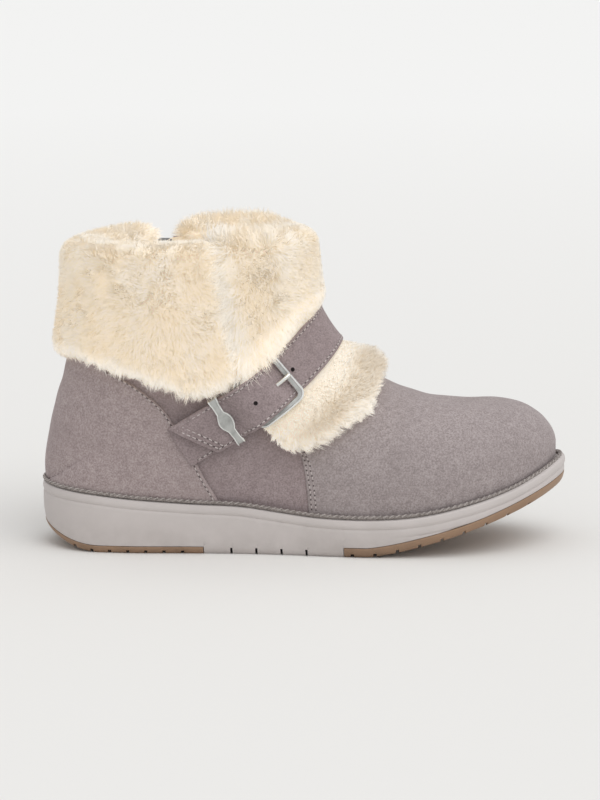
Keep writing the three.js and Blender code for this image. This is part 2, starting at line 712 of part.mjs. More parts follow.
// The anchor lies on the suede under the keeper, steps up onto the fleece and turns back round the
// buckle's bar.
const anchor = { start: 9, stepFrom: 33.5, stepTo: 39, lap: 4.2, lapDrop: 1.5, width: strapWidth - 1.2 };
function makeAnchor() {
  const wrap = buckle.bar + 0.6;
  const outer = wrap + anchorThickness;
  const under = Math.min(buckle.height - outer, overFur);
  const low = [];
  for (let s = anchor.start; s < buckle.hinge - 5; s += 3.5) {
    low.push([s, mix(bedding, under, smooth(anchor.stepFrom, anchor.stepTo, s))]);
  }
  const top = Math.PI * 0.55; // the turn ends just past the bar's top
  const turn = (radius, from, to) =>
    [...Array(8)].map((_, k) => {
      const a = mix(from, to, k / 7);
      return [buckle.hinge + radius * Math.cos(a), buckle.height + radius * Math.sin(a)];
    });
  const lapEnd = buckle.hinge - anchor.lap;
  const profile = [
    ...low,
    ...turn(outer, -Math.PI / 2, top),
    [lapEnd, buckle.height + outer - anchor.lapDrop],
    [lapEnd, buckle.height + wrap - anchor.lapDrop],
    ...turn(wrap, top, -Math.PI / 2),
    ...low.map(([s, z]) => [s, z + anchorThickness]).reverse(),
  ];
  const shape = new THREE.Shape(profile.map(([s, z]) => new THREE.Vector2(s, z)));
  const across = new THREE.ExtrudeGeometry(shape, { depth: anchor.width, steps: 4, bevelEnabled: false });
  across.translate(0, 0, -anchor.width / 2).rotateX(Math.PI / 2);
  const slot = box(buckle.hinge + 2, 0, buckle.height, 11, 5.4, 14); // for the prong
  return laid(strapRoute, geometryFrom(manifoldOf(across).subtract(slot)));
}

// A rounded rectangle, as places with the angle that each one faces, and some along each side so that
// it bends.
function roundedPath(half, corner, alongSide) {
  const path = [];
  for (let q = 0; q < 4; q++) {
    const cx = (q === 0 || q === 3 ? 1 : -1) * (half.x - corner);
    const cy = (q < 2 ? 1 : -1) * (half.y - corner);
    for (let k = 0; k <= 4; k++) {
      const a = (Math.PI / 2) * (q + k / 4);
      path.push({ x: cx + corner * Math.cos(a), y: cy + corner * Math.sin(a), a });
    }
    const a = (Math.PI / 2) * (q + 1);
    const facing = { x: Math.round(Math.cos(a)), y: Math.round(Math.sin(a)) };
    const places = q % 2 === 0 ? [0] : [alongSide, 0, -alongSide];
    for (const t of places) {
      const slide = -facing.x * t;
      const beside = { x: 0, y: facing.y * half.y, a };
      path.push(q % 2 === 0 ? beside : { x: facing.x * half.x, y: slide, a });
    }
  }
  return path;
}

function makeFrame() {
  const loops = [];
  const half = { x: buckle.length / 2, y: buckle.width / 2 - buckle.bar };
  const path = roundedPath(half, buckle.corner, 4);
  for (let k = 0; k < 6; k++) {
    const b = (Math.PI / 3) * k;
    const out = buckle.bar * Math.cos(b);
    const up = buckle.bar * Math.sin(b);
    loops.push(
      path.map((p) => [
        buckle.hinge + half.x + p.x + out * Math.cos(p.a),
        p.y + out * Math.sin(p.a),
        buckle.height + up,
      ]),
    );
  }
  return laid(strapRoute, band(loops));
}

function tube(points, radius, sides) {
  const path = new THREE.CatmullRomCurve3(points.map(([x, y, z]) => new THREE.Vector3(x, y, z)));
  const disc = new THREE.Shape().absarc(0, 0, radius, 0, Math.PI * 2);
  return new THREE.ExtrudeGeometry(disc, { steps: 9, curveSegments: sides, extrudePath: path });
}

function makeProng() {
  const ring = new THREE.Shape().absarc(0, 0, buckle.bar + 1.25, 0, Math.PI * 2);
  ring.holes.push(new THREE.Path().absarc(0, 0, buckle.bar + 0.3, 0, Math.PI * 2));
  const eye = new THREE.ExtrudeGeometry(ring, { depth: 2.6, bevelEnabled: false, curveSegments: 6 })
    .translate(0, 0, -1.3)
    .rotateX(Math.PI / 2)
    .translate(buckle.hinge, 0, buckle.height);
  const over = buckle.height + buckle.bar;
  const rod = tube(
    [
      [buckle.hinge + 2.2, 0, buckle.height],
      [buckle.hinge + 8, 0, buckle.height + 0.5],
      [buckle.hinge + 13, 0, buckle.height + 0.8],
      [rightBar - 6, 0, over + 0.2],
      [rightBar - 2, 0, over + 1.3],
      [rightBar + 1.4, 0, over + 1.25],
    ],
    1.0,
    4,
  );
  return laid(strapRoute, geometryFrom(manifoldOf(eye).add(manifoldOf(rod))));
}

const keeper = { s: 27.4, length: 6.8, wall: 1.3, foot: 0.7 };
function makeKeeper() {
  const low = strapLow(keeper.s) - gap - keeper.foot;
  const high = strapLow(keeper.s) + strapThickness + 2 * gap + keeper.wall;
  const half = strapWidth / 2 + gap + 0.2;
  const width = 2 * (half + keeper.wall);
  const outside = box(keeper.s, 0, (low + high) / 2, keeper.length, width, high - low);
  const inLow = low + keeper.foot;
  const inHigh = high - keeper.wall;
  const inside = box(keeper.s, 0, (inLow + inHigh) / 2, keeper.length + 2, 2 * half, inHigh - inLow);
  return laid(strapRoute, geometryFrom(outside.subtract(inside)));
}

// ---------------------------------------------------------------- fleece cuff
// How thick the fleece stands a distance in from an edge.
function pile(distance, full, least = 1.4, reach = 9) {
  const t = clamp(distance / reach, 0, 1);
  return mix(least, full, Math.sqrt(1 - (1 - t) ** 2));
}

// The front flap's outer edge, from the fold down to its tip; the inner edge mirrors it below the zip.
const flapEdge = [
  { x: 163.7, z: 73.2 },
  { x: 157.0, z: 68.5 },
  { x: 150.6, z: 65.1 },
  { x: 142.0, z: 59.2 },
  { x: 133.3, z: 55.2 },
  { x: 125.0, z: 55.0 },
  { x: 118.5, z: 57.5 },
  { x: 113.0, z: 64.0 },
  { x: 107.5, z: 77.0 },
  { x: 101.5, z: 91.0 },
  { x: 97.0, z: 107.0 },
  { x: 93.0, z: 125.0 },
  { x: 90.0, z: 151.0 },
];
const zipEdge = [
  { x: 107.5, z: 77.0 },
  { x: 97.0, z: 90.0 },
  { x: 84.0, z: 98.0 },
  { x: 73.5, z: 112.0 },
  { x: 71.5, z: 130.0 },
  { x: 70.5, z: 150.5 },
];
const flapTip = 9.05; // the section that the flap's tip reaches on the ridge
const innerRows = [...flapEdge.slice(0, 8), ...zipEdge];
const edgeOf = (rows, side) => {
  const placed = rows.map((r) => place(r.x, r.z, side)).map((p) => ({ u: p.u, v: Math.abs(p.v) }));
  return through([{ u: flapTip, v: 0.02 }, ...placed], "u", "v");
};
const outerEdge = edgeOf(flapEdge, -1);
const innerEdge = edgeOf(innerRows, 1);

// The rear cuff's lower edge from its outer split round the back to the zip.
const rearEdge = [
  { x: 103, z: 93, side: -1 },
  { x: 94, z: 87.5, side: -1 },
  { x: 86, z: 84, side: -1 },
  { x: 77.6, z: 84, side: -1 },
  { x: 69, z: 86.5, side: -1 },
  { x: 58.7, z: 90, side: -1 },
  { x: 50, z: 93, side: -1 },
  { x: 40, z: 95.5, side: -1 },
  { x: 30.9, z: 97, side: -1 },
  { x: 22, z: 98.5, side: -1 },
  { x: 22, z: 98.5, side: 1 },
  { x: 30, z: 98.5, side: 1 },
  { x: 42, z: 98, side: 1 },
  { x: 50.5, z: 99, side: 1 },
];
const rearLow = through(
  rearEdge.map(({ x, z, side }) => {
    const p = place(x, z, side);
    return { turn: side < 0 ? p.v : p.v - 2, u: p.u };
  }).reverse(),
  "turn",
  "u",
);
const zipSide = place(51, 150, 1).v - 2;

// One sheet of a cuff: down is the row, 0 at the lower edge to 1 at the collar and on to 2 over the roll.
function fold(u, v, down, thickness) {
  if (down <= 1) return raised(u, v, bedding + 0.3 + thickness);
  const angle = (down - 1) * Math.PI * 0.9;
  const out = normal(collar, v);
  out.z = 0;
  out.normalize();
  const half = wall / 2 + bedding;
  const across = half + thickness;
  const up = bedding + thickness * 0.62;
  const middle = surface(collar, v).addScaledVector(out, -wall / 2);
  middle.z += up * Math.sin(angle);
  return middle.addScaledVector(out, across * Math.cos(angle));
}

const rollSteps = [1.18, 1.36, 1.54, 1.72, 1.9];

function makeRearCuff() {
  const columns = 24;
  const backAt = 0.5; // the share of the columns before the middle of the back
  const rows = [0, 0.04, 0.12, 0.26, 0.5, 0.75, 1, ...rollSteps];
  const grid = (thick) =>
    rows.map((down) =>
      [...Array(columns + 1)].map((_, j) => {
        const share = j / columns;
        const start = (at) => -outerEdge(at) - 0.012;
        const turn = (at) => {
          const side = share < backAt ? 1 - share / backAt : (share - backAt) / (1 - backAt);
          return -1 + ((share < backAt ? start(at) : zipSide) + 1) * side ** 1.8;
        };
        let u = collar;
        for (let k = 0; k < 6; k++) u = mix(rearLow(turn(u)), collar, Math.min(down, 1));
        const here = surface(u, turn(u));
        const low = rearLow(turn(u));
        const fromLow = here.distanceTo(surface(low, turn(u)));
        const fromSides = Math.min(
          here.distanceTo(surface(u, start(u))) + 2,
          here.distanceTo(surface(u, zipSide)) + 2,
        );
        const full = Math.min(pile(fromLow, 10), pile(fromSides, 10));
        return fold(u, turn(u), down, thick * (down > 1 ? full * 0.95 : full)).toArray();
      }),
    );
  return between(grid(1), grid(0));
}

function makeFrontCuff() {
  const columns = 20;
  const lower = [0, 0.06, 0.15, 0.28, 0.44, 0.62, 0.8, 1];
  const upper = [0.15, 0.35, 0.6, 0.8, 1];
  const rows = [
    ...lower.map((q) => ({ below: q })),
    ...[-1, -0.5, 0, 0.5, 1].map((share) => ({ share })),
    ...[0, ...upper].map((q) => ({ above: q })),
    ...rollSteps.map((down) => ({ above: 1, down })),
  ];
  const calm = strapWidth / 2 + 2; // from the strap's middle to where the fleece starts to swell
  const besideBuckle = 3.5; // the buckle is wider than the strap
  const soft = 8; // how far the fleece takes to swell up beside the strap
  const grid = (thick) =>
    rows.map((row) =>
      [...Array(columns + 1)].map((_, j) => {
        let u = 12;
        let v = 0;
        let half = calm;
        for (let k = 0; k < 12; k++) {
          v = mix(-outerEdge(u), innerEdge(u), j / columns);
          const middle = strapRoute.sectionAt(v);
          half = calm + besideBuckle * smooth(-0.16, -0.22, v) * smooth(-0.62, -0.56, v);
          const perSection = surface(middle + 0.2, v).distanceTo(surface(middle - 0.2, v)) / 0.4;
          const step = (row.share === undefined ? half + soft : half) / perSection;
          if (row.below !== undefined) u = mix(flapTip, Math.max(middle - step, flapTip + 0.3), row.below);
          else if (row.above !== undefined) u = mix(middle + step, collar, row.above);
          else u = middle + row.share * step;
        }
        const here = surface(u, v);
        const from = here.distanceTo(surface(u, -outerEdge(u)));
        const to = here.distanceTo(surface(u, innerEdge(u)));
        const tip = here.distanceTo(surface(flapTip, 0));
        let full = Math.min(pile(Math.min(from, to), 11), pile(tip, 9));
        if (row.share !== undefined) full = Math.min(full, furUnder);
        return fold(u, v, row.down ?? 1, thick * full).toArray();
      }),
    );
  return between(grid(1), grid(0));
}

// ---------------------------------------------------------------- zip
const zipRoute = route([
  { x: 89, z: 42, side: 1 },
  { x: 82, z: 60, side: 1 },
  { x: 74, z: 78, side: 1 },
  { x: 67, z: 98, side: 1 },
  { x: 62.5, z: 118, side: 1 },
  { x: 61, z: 139, side: 1 },
]);
const zip = { width: 6, thickness: 1.5 };
function makeZipChain() {
  const count = 22;
  const rows = [...Array(count + 1)].map((_, i) => ({
    s: mix(0, zipRoute.length, i / count),
    low: bedding,
    half: zip.width / 2,
  }));
  return laid(zipRoute, flatStrip(rows, zip.thickness));
}

const slider = { z: 145.5, height: 7, width: 7, depth: 7, y: 41 }; // parked in the collar's notch
const bridge = { reach: 3.4, opening: 2.2, width: 2.2, height: 5.2 };
const hinge = { y: slider.y + slider.depth / 2 + 1.1, z: slider.z }; // the pull's axis runs along x
function makeSlider() {
  const body = box(zipNotch.x, slider.y, slider.z, slider.width, slider.depth, slider.height);
  const face = slider.y + slider.depth / 2;
  const { reach, opening, width, height } = bridge;
  const arch = box(zipNotch.x, face + reach / 2 - 0.2, slider.z, width, reach + 0.4, height);
  const eye = box(zipNotch.x, face + opening / 2, slider.z, width + 1, opening, opening);
  return geometryFrom(body.add(arch).subtract(eye));
}

const pull = { length: 20, width: 7, thickness: 1.4, arm: 1.2, top: 5.4 };
function makePull() {
  const pin = manifoldOf(new THREE.CylinderGeometry(0.7, 0.7, pull.width, 12).rotateZ(Math.PI / 2));
  const plate = box(0, 0, -pull.length / 2 + 0.7, pull.width, pull.thickness, pull.length);
  const window = box(0, 0, -pull.top / 2 + 0.7 + 1, pull.width - 2 * pull.arm, 4, pull.top + 2);
  const solid = geometryFrom(plate.subtract(window).add(pin));
  return solid.translate(zipNotch.x, hinge.y, hinge.z);
}

// ---------------------------------------------------------------- the boot
const looks = {
  suede: { color: 0xa59899, roughness: 0.95 },
  counter: { color: 0x9d9193, roughness: 0.95 },
  fleece: { color: 0xf0e4cd, roughness: 1 },
  midsole: { color: 0xc0bab6, roughness: 0.8 },
  gum: { color: 0xb8926e, roughness: 0.7 },
  strap: { color: 0xa89b9c, roughness: 0.9 },
  steel: { color: 0xb9bbbd, roughness: 0.35, metalness: 1 },
};
const group = new THREE.Group();
group.name = "boot";
function add(name, geometry, look) {
  const mesh = new THREE.Mesh(geometry, new THREE.MeshStandardMaterial(looks[look]));
  mesh.name = name;
  group.add(mesh);
  return mesh;
}

const sole = makeSole();
add("midsole", sole.midsole, "midsole");
add("outsole_heel", sole.heelPad, "gum");
add("outsole_forefoot", sole.toePad, "gum");
add("welt", makeWelt(), "midsole");
add("insole", makeInsole(), "fleece");
add("upper", makeUpper(), "suede");
add("heel_counter", makeCounter(), "counter");
add("cuff_rear", makeRearCuff(), "fleece");
add("cuff_front", makeFrontCuff(), "fleece");
add("strap", makeStrap(), "strap");
add("strap_anchor", makeAnchor(), "strap");
add("buckle_frame", makeFrame(), "steel");
add("buckle_prong", makeProng(), "steel");
add("keeper", makeKeeper(), "steel");
add("zip_chain", makeZipChain(), "steel");
add("zip_slider", makeSlider(), "steel");
add("zip_pull", makePull(), "steel");

const bounds = new THREE.Box3().setFromObject(group);
const centre = bounds.getCenter(new THREE.Vector3());
group.position.set(-centre.x, -centre.y, -bounds.min.z);

export default group;
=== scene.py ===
import math

import bmesh
import bpy
import numpy as np
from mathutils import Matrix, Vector
from mathutils.kdtree import KDTree


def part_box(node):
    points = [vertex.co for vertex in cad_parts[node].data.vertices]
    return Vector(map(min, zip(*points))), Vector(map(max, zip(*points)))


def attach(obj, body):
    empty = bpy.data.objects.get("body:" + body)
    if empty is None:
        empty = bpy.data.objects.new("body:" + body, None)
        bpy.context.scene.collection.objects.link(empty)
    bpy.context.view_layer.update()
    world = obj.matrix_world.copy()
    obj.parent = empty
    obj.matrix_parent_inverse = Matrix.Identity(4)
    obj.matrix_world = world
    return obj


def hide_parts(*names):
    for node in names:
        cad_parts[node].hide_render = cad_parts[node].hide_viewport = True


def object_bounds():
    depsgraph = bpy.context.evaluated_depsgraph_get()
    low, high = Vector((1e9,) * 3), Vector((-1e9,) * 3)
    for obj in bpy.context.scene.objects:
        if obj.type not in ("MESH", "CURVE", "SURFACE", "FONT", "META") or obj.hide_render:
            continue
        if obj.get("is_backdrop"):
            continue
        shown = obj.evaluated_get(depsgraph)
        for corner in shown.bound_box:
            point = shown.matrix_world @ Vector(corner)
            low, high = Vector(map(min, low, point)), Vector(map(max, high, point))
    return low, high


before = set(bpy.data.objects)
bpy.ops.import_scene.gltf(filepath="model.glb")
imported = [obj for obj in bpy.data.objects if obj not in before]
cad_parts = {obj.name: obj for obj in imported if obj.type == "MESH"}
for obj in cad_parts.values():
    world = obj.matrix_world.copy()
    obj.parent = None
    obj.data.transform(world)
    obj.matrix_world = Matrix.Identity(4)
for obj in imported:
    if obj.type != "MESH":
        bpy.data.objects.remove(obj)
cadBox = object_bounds()

# the same driving sizes as the CAD, in millimetres
boot = {
    "soleLength": 265.0,
    "wall": 6.0,
    "bedding": 0.9,  # how far an overlay lies off the suede
    "heelPad": 3.6,
    "forefootPad": 4.9,
    "heelPadEnd": 82.0,
    "toePadStart": 152.0,
    "strapWidth": 23.0,
    "strapThickness": 1.8,
}

# ---- curves through tables


def through(rows, key, value):
    x = np.array([r[key] for r in rows], float)
    y = np.array([r[value] for r in rows], float)
    low = np.maximum(np.arange(len(x)) - 1, 0)
    high = np.minimum(np.arange(len(x)) + 1, len(x) - 1)
    slope = (y[high] - y[low]) / (x[high] - x[low])

    def at(t):
        t = np.clip(t, x[0], x[-1])
        i = np.clip(np.searchsorted(x, t, side="right") - 1, 0, len(x) - 2)
        h = x[i + 1] - x[i]
        s = (t - x[i]) / h
        return (
            y[i] * (2 * s**3 - 3 * s**2 + 1)
            + slope[i] * h * (s**3 - 2 * s**2 + s)
            + y[i + 1] * (3 * s**2 - 2 * s**3)
            + slope[i + 1] * h * (s**3 - s**2)
        )

    return at


def table(names, *rows):
    return [dict(zip(names.split(), row)) for row in rows]


def mix(a, b, t):
    return a + (b - a) * t


def smooth(a, b, x):
    t = np.clip((x - a) / (b - a), 0, 1)
    return t * t * (3 - 2 * t)


def unit(vectors):
    return vectors / np.maximum(np.linalg.norm(vectors, axis=-1, keepdims=True), 1e-9)


# ---- the sole from above

soleStations = table(
    "x outer inner",
    (5, 17.5, 17.0),
    (18, 29.5, 28.5),
    (42, 34.5, 33.0),
    (78, 35.5, 31.0),
    (115, 38.0, 31.0),
    (150, 43.5, 36.5),
    (185, 46.5, 42.5),
    (215, 43.5, 43.0),
    (240, 32.0, 37.5),
    (257, 14.5, 25.0),
)
toeTip = (boot["soleLength"], 6.0)


def roundedLoop(points, perSpan=72):
    # a smooth closed curve through the points, with even tension
    p = np.array(points, float)
    loop = []
    for i in range(len(p)):
        a, b, c, d = p[i - 1], p[i], p[(i + 1) % len(p)], p[(i + 2) % len(p)]
        da, db, dc = (math.sqrt(np.linalg.norm(n - m)) for m, n in ((a, b), (b, c), (c, d)))
        startSlope = ((b - a) / da - (c - a) / (da + db) + (c - b) / db) * db
        endSlope = ((c - b) / db - (d - b) / (db + dc) + (d - c) / dc) * db
        t = np.linspace(0, 1, perSpan, endpoint=False)[:, None]
        loop.append(
            b
            + startSlope * t
            + (-3 * b + 3 * c - 2 * startSlope - endSlope) * t**2
            + (2 * b - 2 * c + startSlope + endSlope) * t**3
        )
    return np.concatenate(loop)


outlinePoints = roundedLoop(
    [(0, 0)]
    + [(s["x"], -s["outer"]) for s in soleStations]
    + [toeTip]
    + [(s["x"], s["inner"]) for s in reversed(soleStations)]
)


def outline(inset):
    # the sole's outline moved inwards by inset, a number or a function of x, as half-widths at any x
    p = outlinePoints
    run = unit(np.roll(p, -2, axis=0) - np.roll(p, 2, axis=0))
    amount = inset(p[:, 0]) if callable(inset) else inset * np.ones(len(p))
    moved = p + amount[:, None] * np.stack([-run[:, 1], run[:, 0]], axis=1)
    back, front = moved[np.argmin(moved[:, 0])], moved[np.argmax(moved[:, 0])]
    chord = back[1] + (front[1] - back[1]) * (moved[:, 0] - back[0]) / (front[0] - back[0])

    def side(sign):
        points = moved[sign * (moved[:, 1] - chord) > 0]
        points = np.vstack([back, points[np.argsort(points[:, 0])], front])
        return lambda x: np.interp(x, points[:, 0], points[:, 1])

    return {"front": front, "outer": side(-1), "inner": side(1)}


soleTop = through(
    table(
        "x z",
        (0, 32),
        (20, 30.4),
        (45, 27.8),
        (75, 25.6),
        (100, 24.6),
        (120, 22),
        (140, 19.8),
        (165, 19.3),
        (190, 21.2),
        (215, 26.4),
        (235, 32),
        (250, 37.6),
        (boot["soleLength"], 43.6),
    ),
    "x",
    "z",
)
heelBevel = {"length": 30, "rise": 9}
toeSpring = {"start": 163, "rise": 29.7, "power": 1.27}


def soleBottom(x):
    heel = np.maximum(0, 1 - x / heelBevel["length"])
    toe = np.clip((x - toeSpring["start"]) / (boot["soleLength"] - toeSpring["start"]), 0, 1)
    return heelBevel["rise"] * heel**2 + toeSpring["rise"] * toe ** toeSpring["power"]


# ---- the upper's surface: sections fan round the ankle from the toe to the collar

sections = table(
    "bx bz tx tz ridge outer inner rise full",
    (0, None, 0, 50.5, 0, 0.0, 0.0, 0.5, 2.1),
    (259.2, None, 259.3, 54.3, 6.1, 0.3, 0.3, 0.45, 2.1),
    (256.3, None, 256.8, 58.9, 6.3, 0.8, 0.8, 0.42, 2.15),
    (251.0, None, 251.5, 64.4, 6.5, 1.2, 1.2, 0.38, 2.2),
    (242.0, None, 242.5, 69.4, 6.3, 1.6, 1.4, 0.34, 2.3),
    (229.0, None, 229.5, 71.8, 5.8, 1.8, 1.6, 0.3, 2.35),
    (213.0, None, 213.5, 71.8, 5.0, 1.8, 1.6, 0.28, 2.35),
    (196.0, None, 197.0, 73.8, 4.0, 1.6, 1.6, 0.26, 2.25),
    (178.0, None, 181.5, 78.8, 3.0, 1.4, 1.8, 0.25, 2.1),
    (159.0, None, 168.5, 84.9, 2.2, 1.2, 2.5, 0.25, 2.0),
    (138.0, None, 158.8, 91.2, 1.5, 1.5, 4.0, 0.28, 2.0),
    (114.0, None, 150.5, 98.8, 1.0, 2.2, 6.0, 0.32, 2.0),
    (87.0, None, 143.8, 106.6, 0.5, 3.5, 7.5, 0.38, 2.05),
    (58.0, None, 139.0, 114.2, 0.2, 5.5, 7.5, 0.44, 2.1),
    (33.0, None, 135.8, 120.8, 0.0, 8.0, 9.0, 0.48, 2.15),
    (14.5, None, 133.9, 126.4, 0.0, 15.0, 15.5, 0.5, 2.2),
    (6.0, None, 132.8, 131.2, 0.0, 26.0, 26.0, 0.5, 2.2),
    (3.2, 32.1, 132.2, 135.3, 0.0, 38.5, 38.5, 0.5, 2.2),
    (2.5, 40.0, 131.7, 138.8, 0.0, 38.8, 38.8, 0.5, 2.2),
    (3.6, 51.0, 131.3, 141.9, 0.0, 39.2, 39.2, 0.5, 2.2),
    (6.3, 64.0, 131.0, 144.6, 0.0, 39.8, 39.8, 0.5, 2.2),
    (9.8, 78.0, 130.7, 147.0, 0.0, 40.4, 40.4, 0.5, 2.2),
    (14.0, 93.0, 130.4, 149.1, 0.0, 41.0, 41.0, 0.5, 2.2),
    (17.6, 109.0, 130.2, 150.9, 0.0, 41.5, 41.5, 0.5, 2.2),
    (20.0, 127.0, 130.1, 152.4, 0.0, 42.0, 42.0, 0.5, 2.2),
    (21.0, 148.0, 130.0, 153.5, 0.0, 42.5, 42.5, 0.5, 2.2),
)
collar = len(sections) - 1
heelSection = next(i for i, s in enumerate(sections) if s["bz"] is not None)
widest = 0.6
seat = 0.4
featherInset = lambda x: mix(3.4, 4.8, smooth(120, boot["soleLength"], x))
feather = outline(featherInset)
sections[0].update(bx=feather["front"][0], tx=feather["front"][0], ridge=feather["front"][1])
for i, s in enumerate(sections):
    isOpen = i < heelSection
    s["at"] = i
    s["outerWidest"] = (feather["outer"](s["bx"]) if isOpen else 0) - s["outer"]
    s["innerWidest"] = (feather["inner"](s["bx"]) if isOpen else 0) + s["inner"]
    if isOpen:
        s["bz"] = soleTop(s["bx"]) + seat
column = {
    name: through(sections, "at", name)
    for name in ("bx", "bz", "tx", "tz", "ridge", "outerWidest", "innerWidest", "rise", "full")
}


def lowEnd(u):
    x = column["bx"](u)
    return x, np.where(u < heelSection, soleTop(x) + seat, column["bz"](u))


def surface(u, v):
    # v is 0 on the ridge, -1 down the outer side and 1 down the inner side; past -1 it runs on round
    # the back
    u, v = np.broadcast_arrays(np.asarray(u, float), np.asarray(v, float))
    v = np.where(v < -1, v + 2, np.where(v > 1, v - 2, v))
    outerSide = v < 0
    lowX, lowZ = lowEnd(u)
    edge = np.where(u < heelSection, np.where(outerSide, feather["outer"](lowX), feather["inner"](lowX)), 0)
    side = np.where(outerSide, column["outerWidest"](u), column["innerWidest"](u))
    ridge, rise = column["ridge"](u), column["rise"](u)
    away = np.abs(v)
    power = 2 / column["full"](u)
    angle = np.pi / 2 * (1 - np.minimum(away, widest) / widest)
    yTop = ridge + (side - ridge) * np.maximum(np.cos(angle), 0) ** power
    hTop = rise + (1 - rise) * np.maximum(np.sin(angle), 0) ** power
    t = np.clip((1 - away) / (1 - widest), 0, 1)
    span = np.where(np.abs(side - ridge) < 1e-6, 1, side - ridge)
    share = np.where(np.abs(side - ridge) < 1e-6, 1, np.clip((edge - ridge) / span, 0, 1))
    yLow = edge + (side - edge) * (1 - (1 - t) ** 2) ** (1 / (2 - share))
    hLow = rise * t
    y = np.where(away < widest, yTop, yLow)
    h = np.where(away < widest, hTop, hLow)
    return np.stack([mix(lowX, column["tx"](u), h), y, mix(lowZ, column["tz"](u), h)], axis=-1)


def normal(u, v):
    u, v = np.broadcast_arrays(np.asarray(u, float), np.asarray(v, float))
    step = 0.02
    closed = u >= heelSection
    u0 = np.clip(u - step, np.where(closed, heelSection, 0), collar - 2 * step)
    v0 = np.where(closed, v - step, np.clip(v - step, -1, 1))
    v1 = np.where(closed, v + step, np.clip(v + step, -1, 1))
    alongU = surface(u0 + 2 * step, v) - surface(u0, v)
    alongV = surface(u, v1) - surface(u, v0)
    return unit(np.cross(alongV, alongU))


def raised(u, v, height):
    return surface(u, v) + normal(u, v) * np.asarray(height)[..., None]


def place(x, z, side):
    # the u and v of a place given as it is seen from the side
    x, z, side = np.broadcast_arrays(np.asarray(x, float), np.asarray(z, float), np.asarray(side, float))
    low, high = np.zeros(x.shape), np.full(x.shape, float(collar))
    for _ in range(40):
        middle = (low + high) / 2
        bx, bz = lowEnd(middle)
        past = (column["tx"](middle) - bx) * (z - bz) - (column["tz"](middle) - bz) * (x - bx) > 0
        low, high = np.where(past, middle, low), np.where(past, high, middle)
    u = (low + high) / 2
    bx, bz = lowEnd(u)
    run = np.hypot(column["tx"](u) - bx, column["tz"](u) - bz)
    h = np.clip(np.hypot(x - bx, z - bz) / run, 0, 1)
    rise = column["rise"](u)
    lowV = 1 - np.minimum(h / rise, 1) * (1 - widest)
    share = np.clip((h - rise) / (1 - rise), 0, 1)
    topV = widest * (1 - np.arcsin(share ** (column["full"](u) / 2)) / (np.pi / 2))
    return u, side * np.where(h < rise, lowV, topV)


# ---- from the boot's own millimetres to the frame's metres

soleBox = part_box("midsole")
shift = np.array([-soleBox[0][0], -soleBox[0][1], 0.0]) * -1000
shift[1] -= outline(0)["outer"](np.linspace(1, boot["soleLength"] - 1, 400)).min()


def toRow(points):
    return (np.asarray(points) + shift) * 0.001


def meshFrom(name, points, faces, smoothShade=True, body="boot"):
    mesh = bpy.data.meshes.new(name)
    points = toRow(points).reshape(-1, 3).astype(np.float32)
    mesh.vertices.add(len(points))
    mesh.vertices.foreach_set("co", points.ravel())
    loops = np.concatenate([np.asarray(f, np.int32).ravel() for f in faces])
    sizes = np.concatenate([np.full(len(f), np.asarray(f).shape[1], np.int32) for f in faces])
    starts = np.concatenate([[0], np.cumsum(sizes)[:-1]]).astype(np.int32)
    mesh.loops.add(len(loops))
    mesh.loops.foreach_set("vertex_index", loops)
    mesh.polygons.add(len(sizes))
    mesh.polygons.foreach_set("loop_start", starts)
    mesh.polygons.foreach_set("loop_total", sizes)
    mesh.update(calc_edges=True)
    mesh.validate()
    mesh.polygons.foreach_set("use_smooth", np.full(len(mesh.polygons), smoothShade))
    thing = bpy.data.objects.new(name, mesh)
    bpy.context.scene.collection.objects.link(thing)
    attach(thing, body)
    return thing


def endCaps(rows, columns):
    # strips across the first and the last closed section of a grid
    k = np.arange(columns // 2 - 1)
    first = np.stack([k, k + 1, columns - 2 - k, columns - 1 - k], axis=-1)
    return first, first + (rows - 1) * columns


def gridFaces(rows, columns, start=0, wrap=False, flip=False):
    i = np.arange(rows - 1)[:, None]
    j = np.arange(columns if wrap else columns - 1)[None, :]
    k = (j + 1) % columns
    quad = np.stack([i * columns + j, i * columns + k, (i + 1) * columns + k, (i + 1) * columns + j], axis=-1)
    quad = quad.reshape(-1, 4) + start
    return quad[:, ::-1] if flip else quad


def weld(thing, distance=0.00002):
    bm = bmesh.new()
    bm.from_mesh(thing.data)
    bmesh.ops.remove_doubles(bm, verts=bm.verts, dist=distance)
    bmesh.ops.recalc_face_normals(bm, faces=bm.faces)
    bm.to_mesh(thing.data)
    bm.free()


# ---- a route over the boot, and the cuff's folded sheet


def denser(rows, count):
    index = [{"i": i, **r} for i, r in enumerate(rows)]
    at = np.linspace(0, len(rows) - 1, count + 1)
    return through(index, "i", "x")(at), through(index, "i", "z")(at)


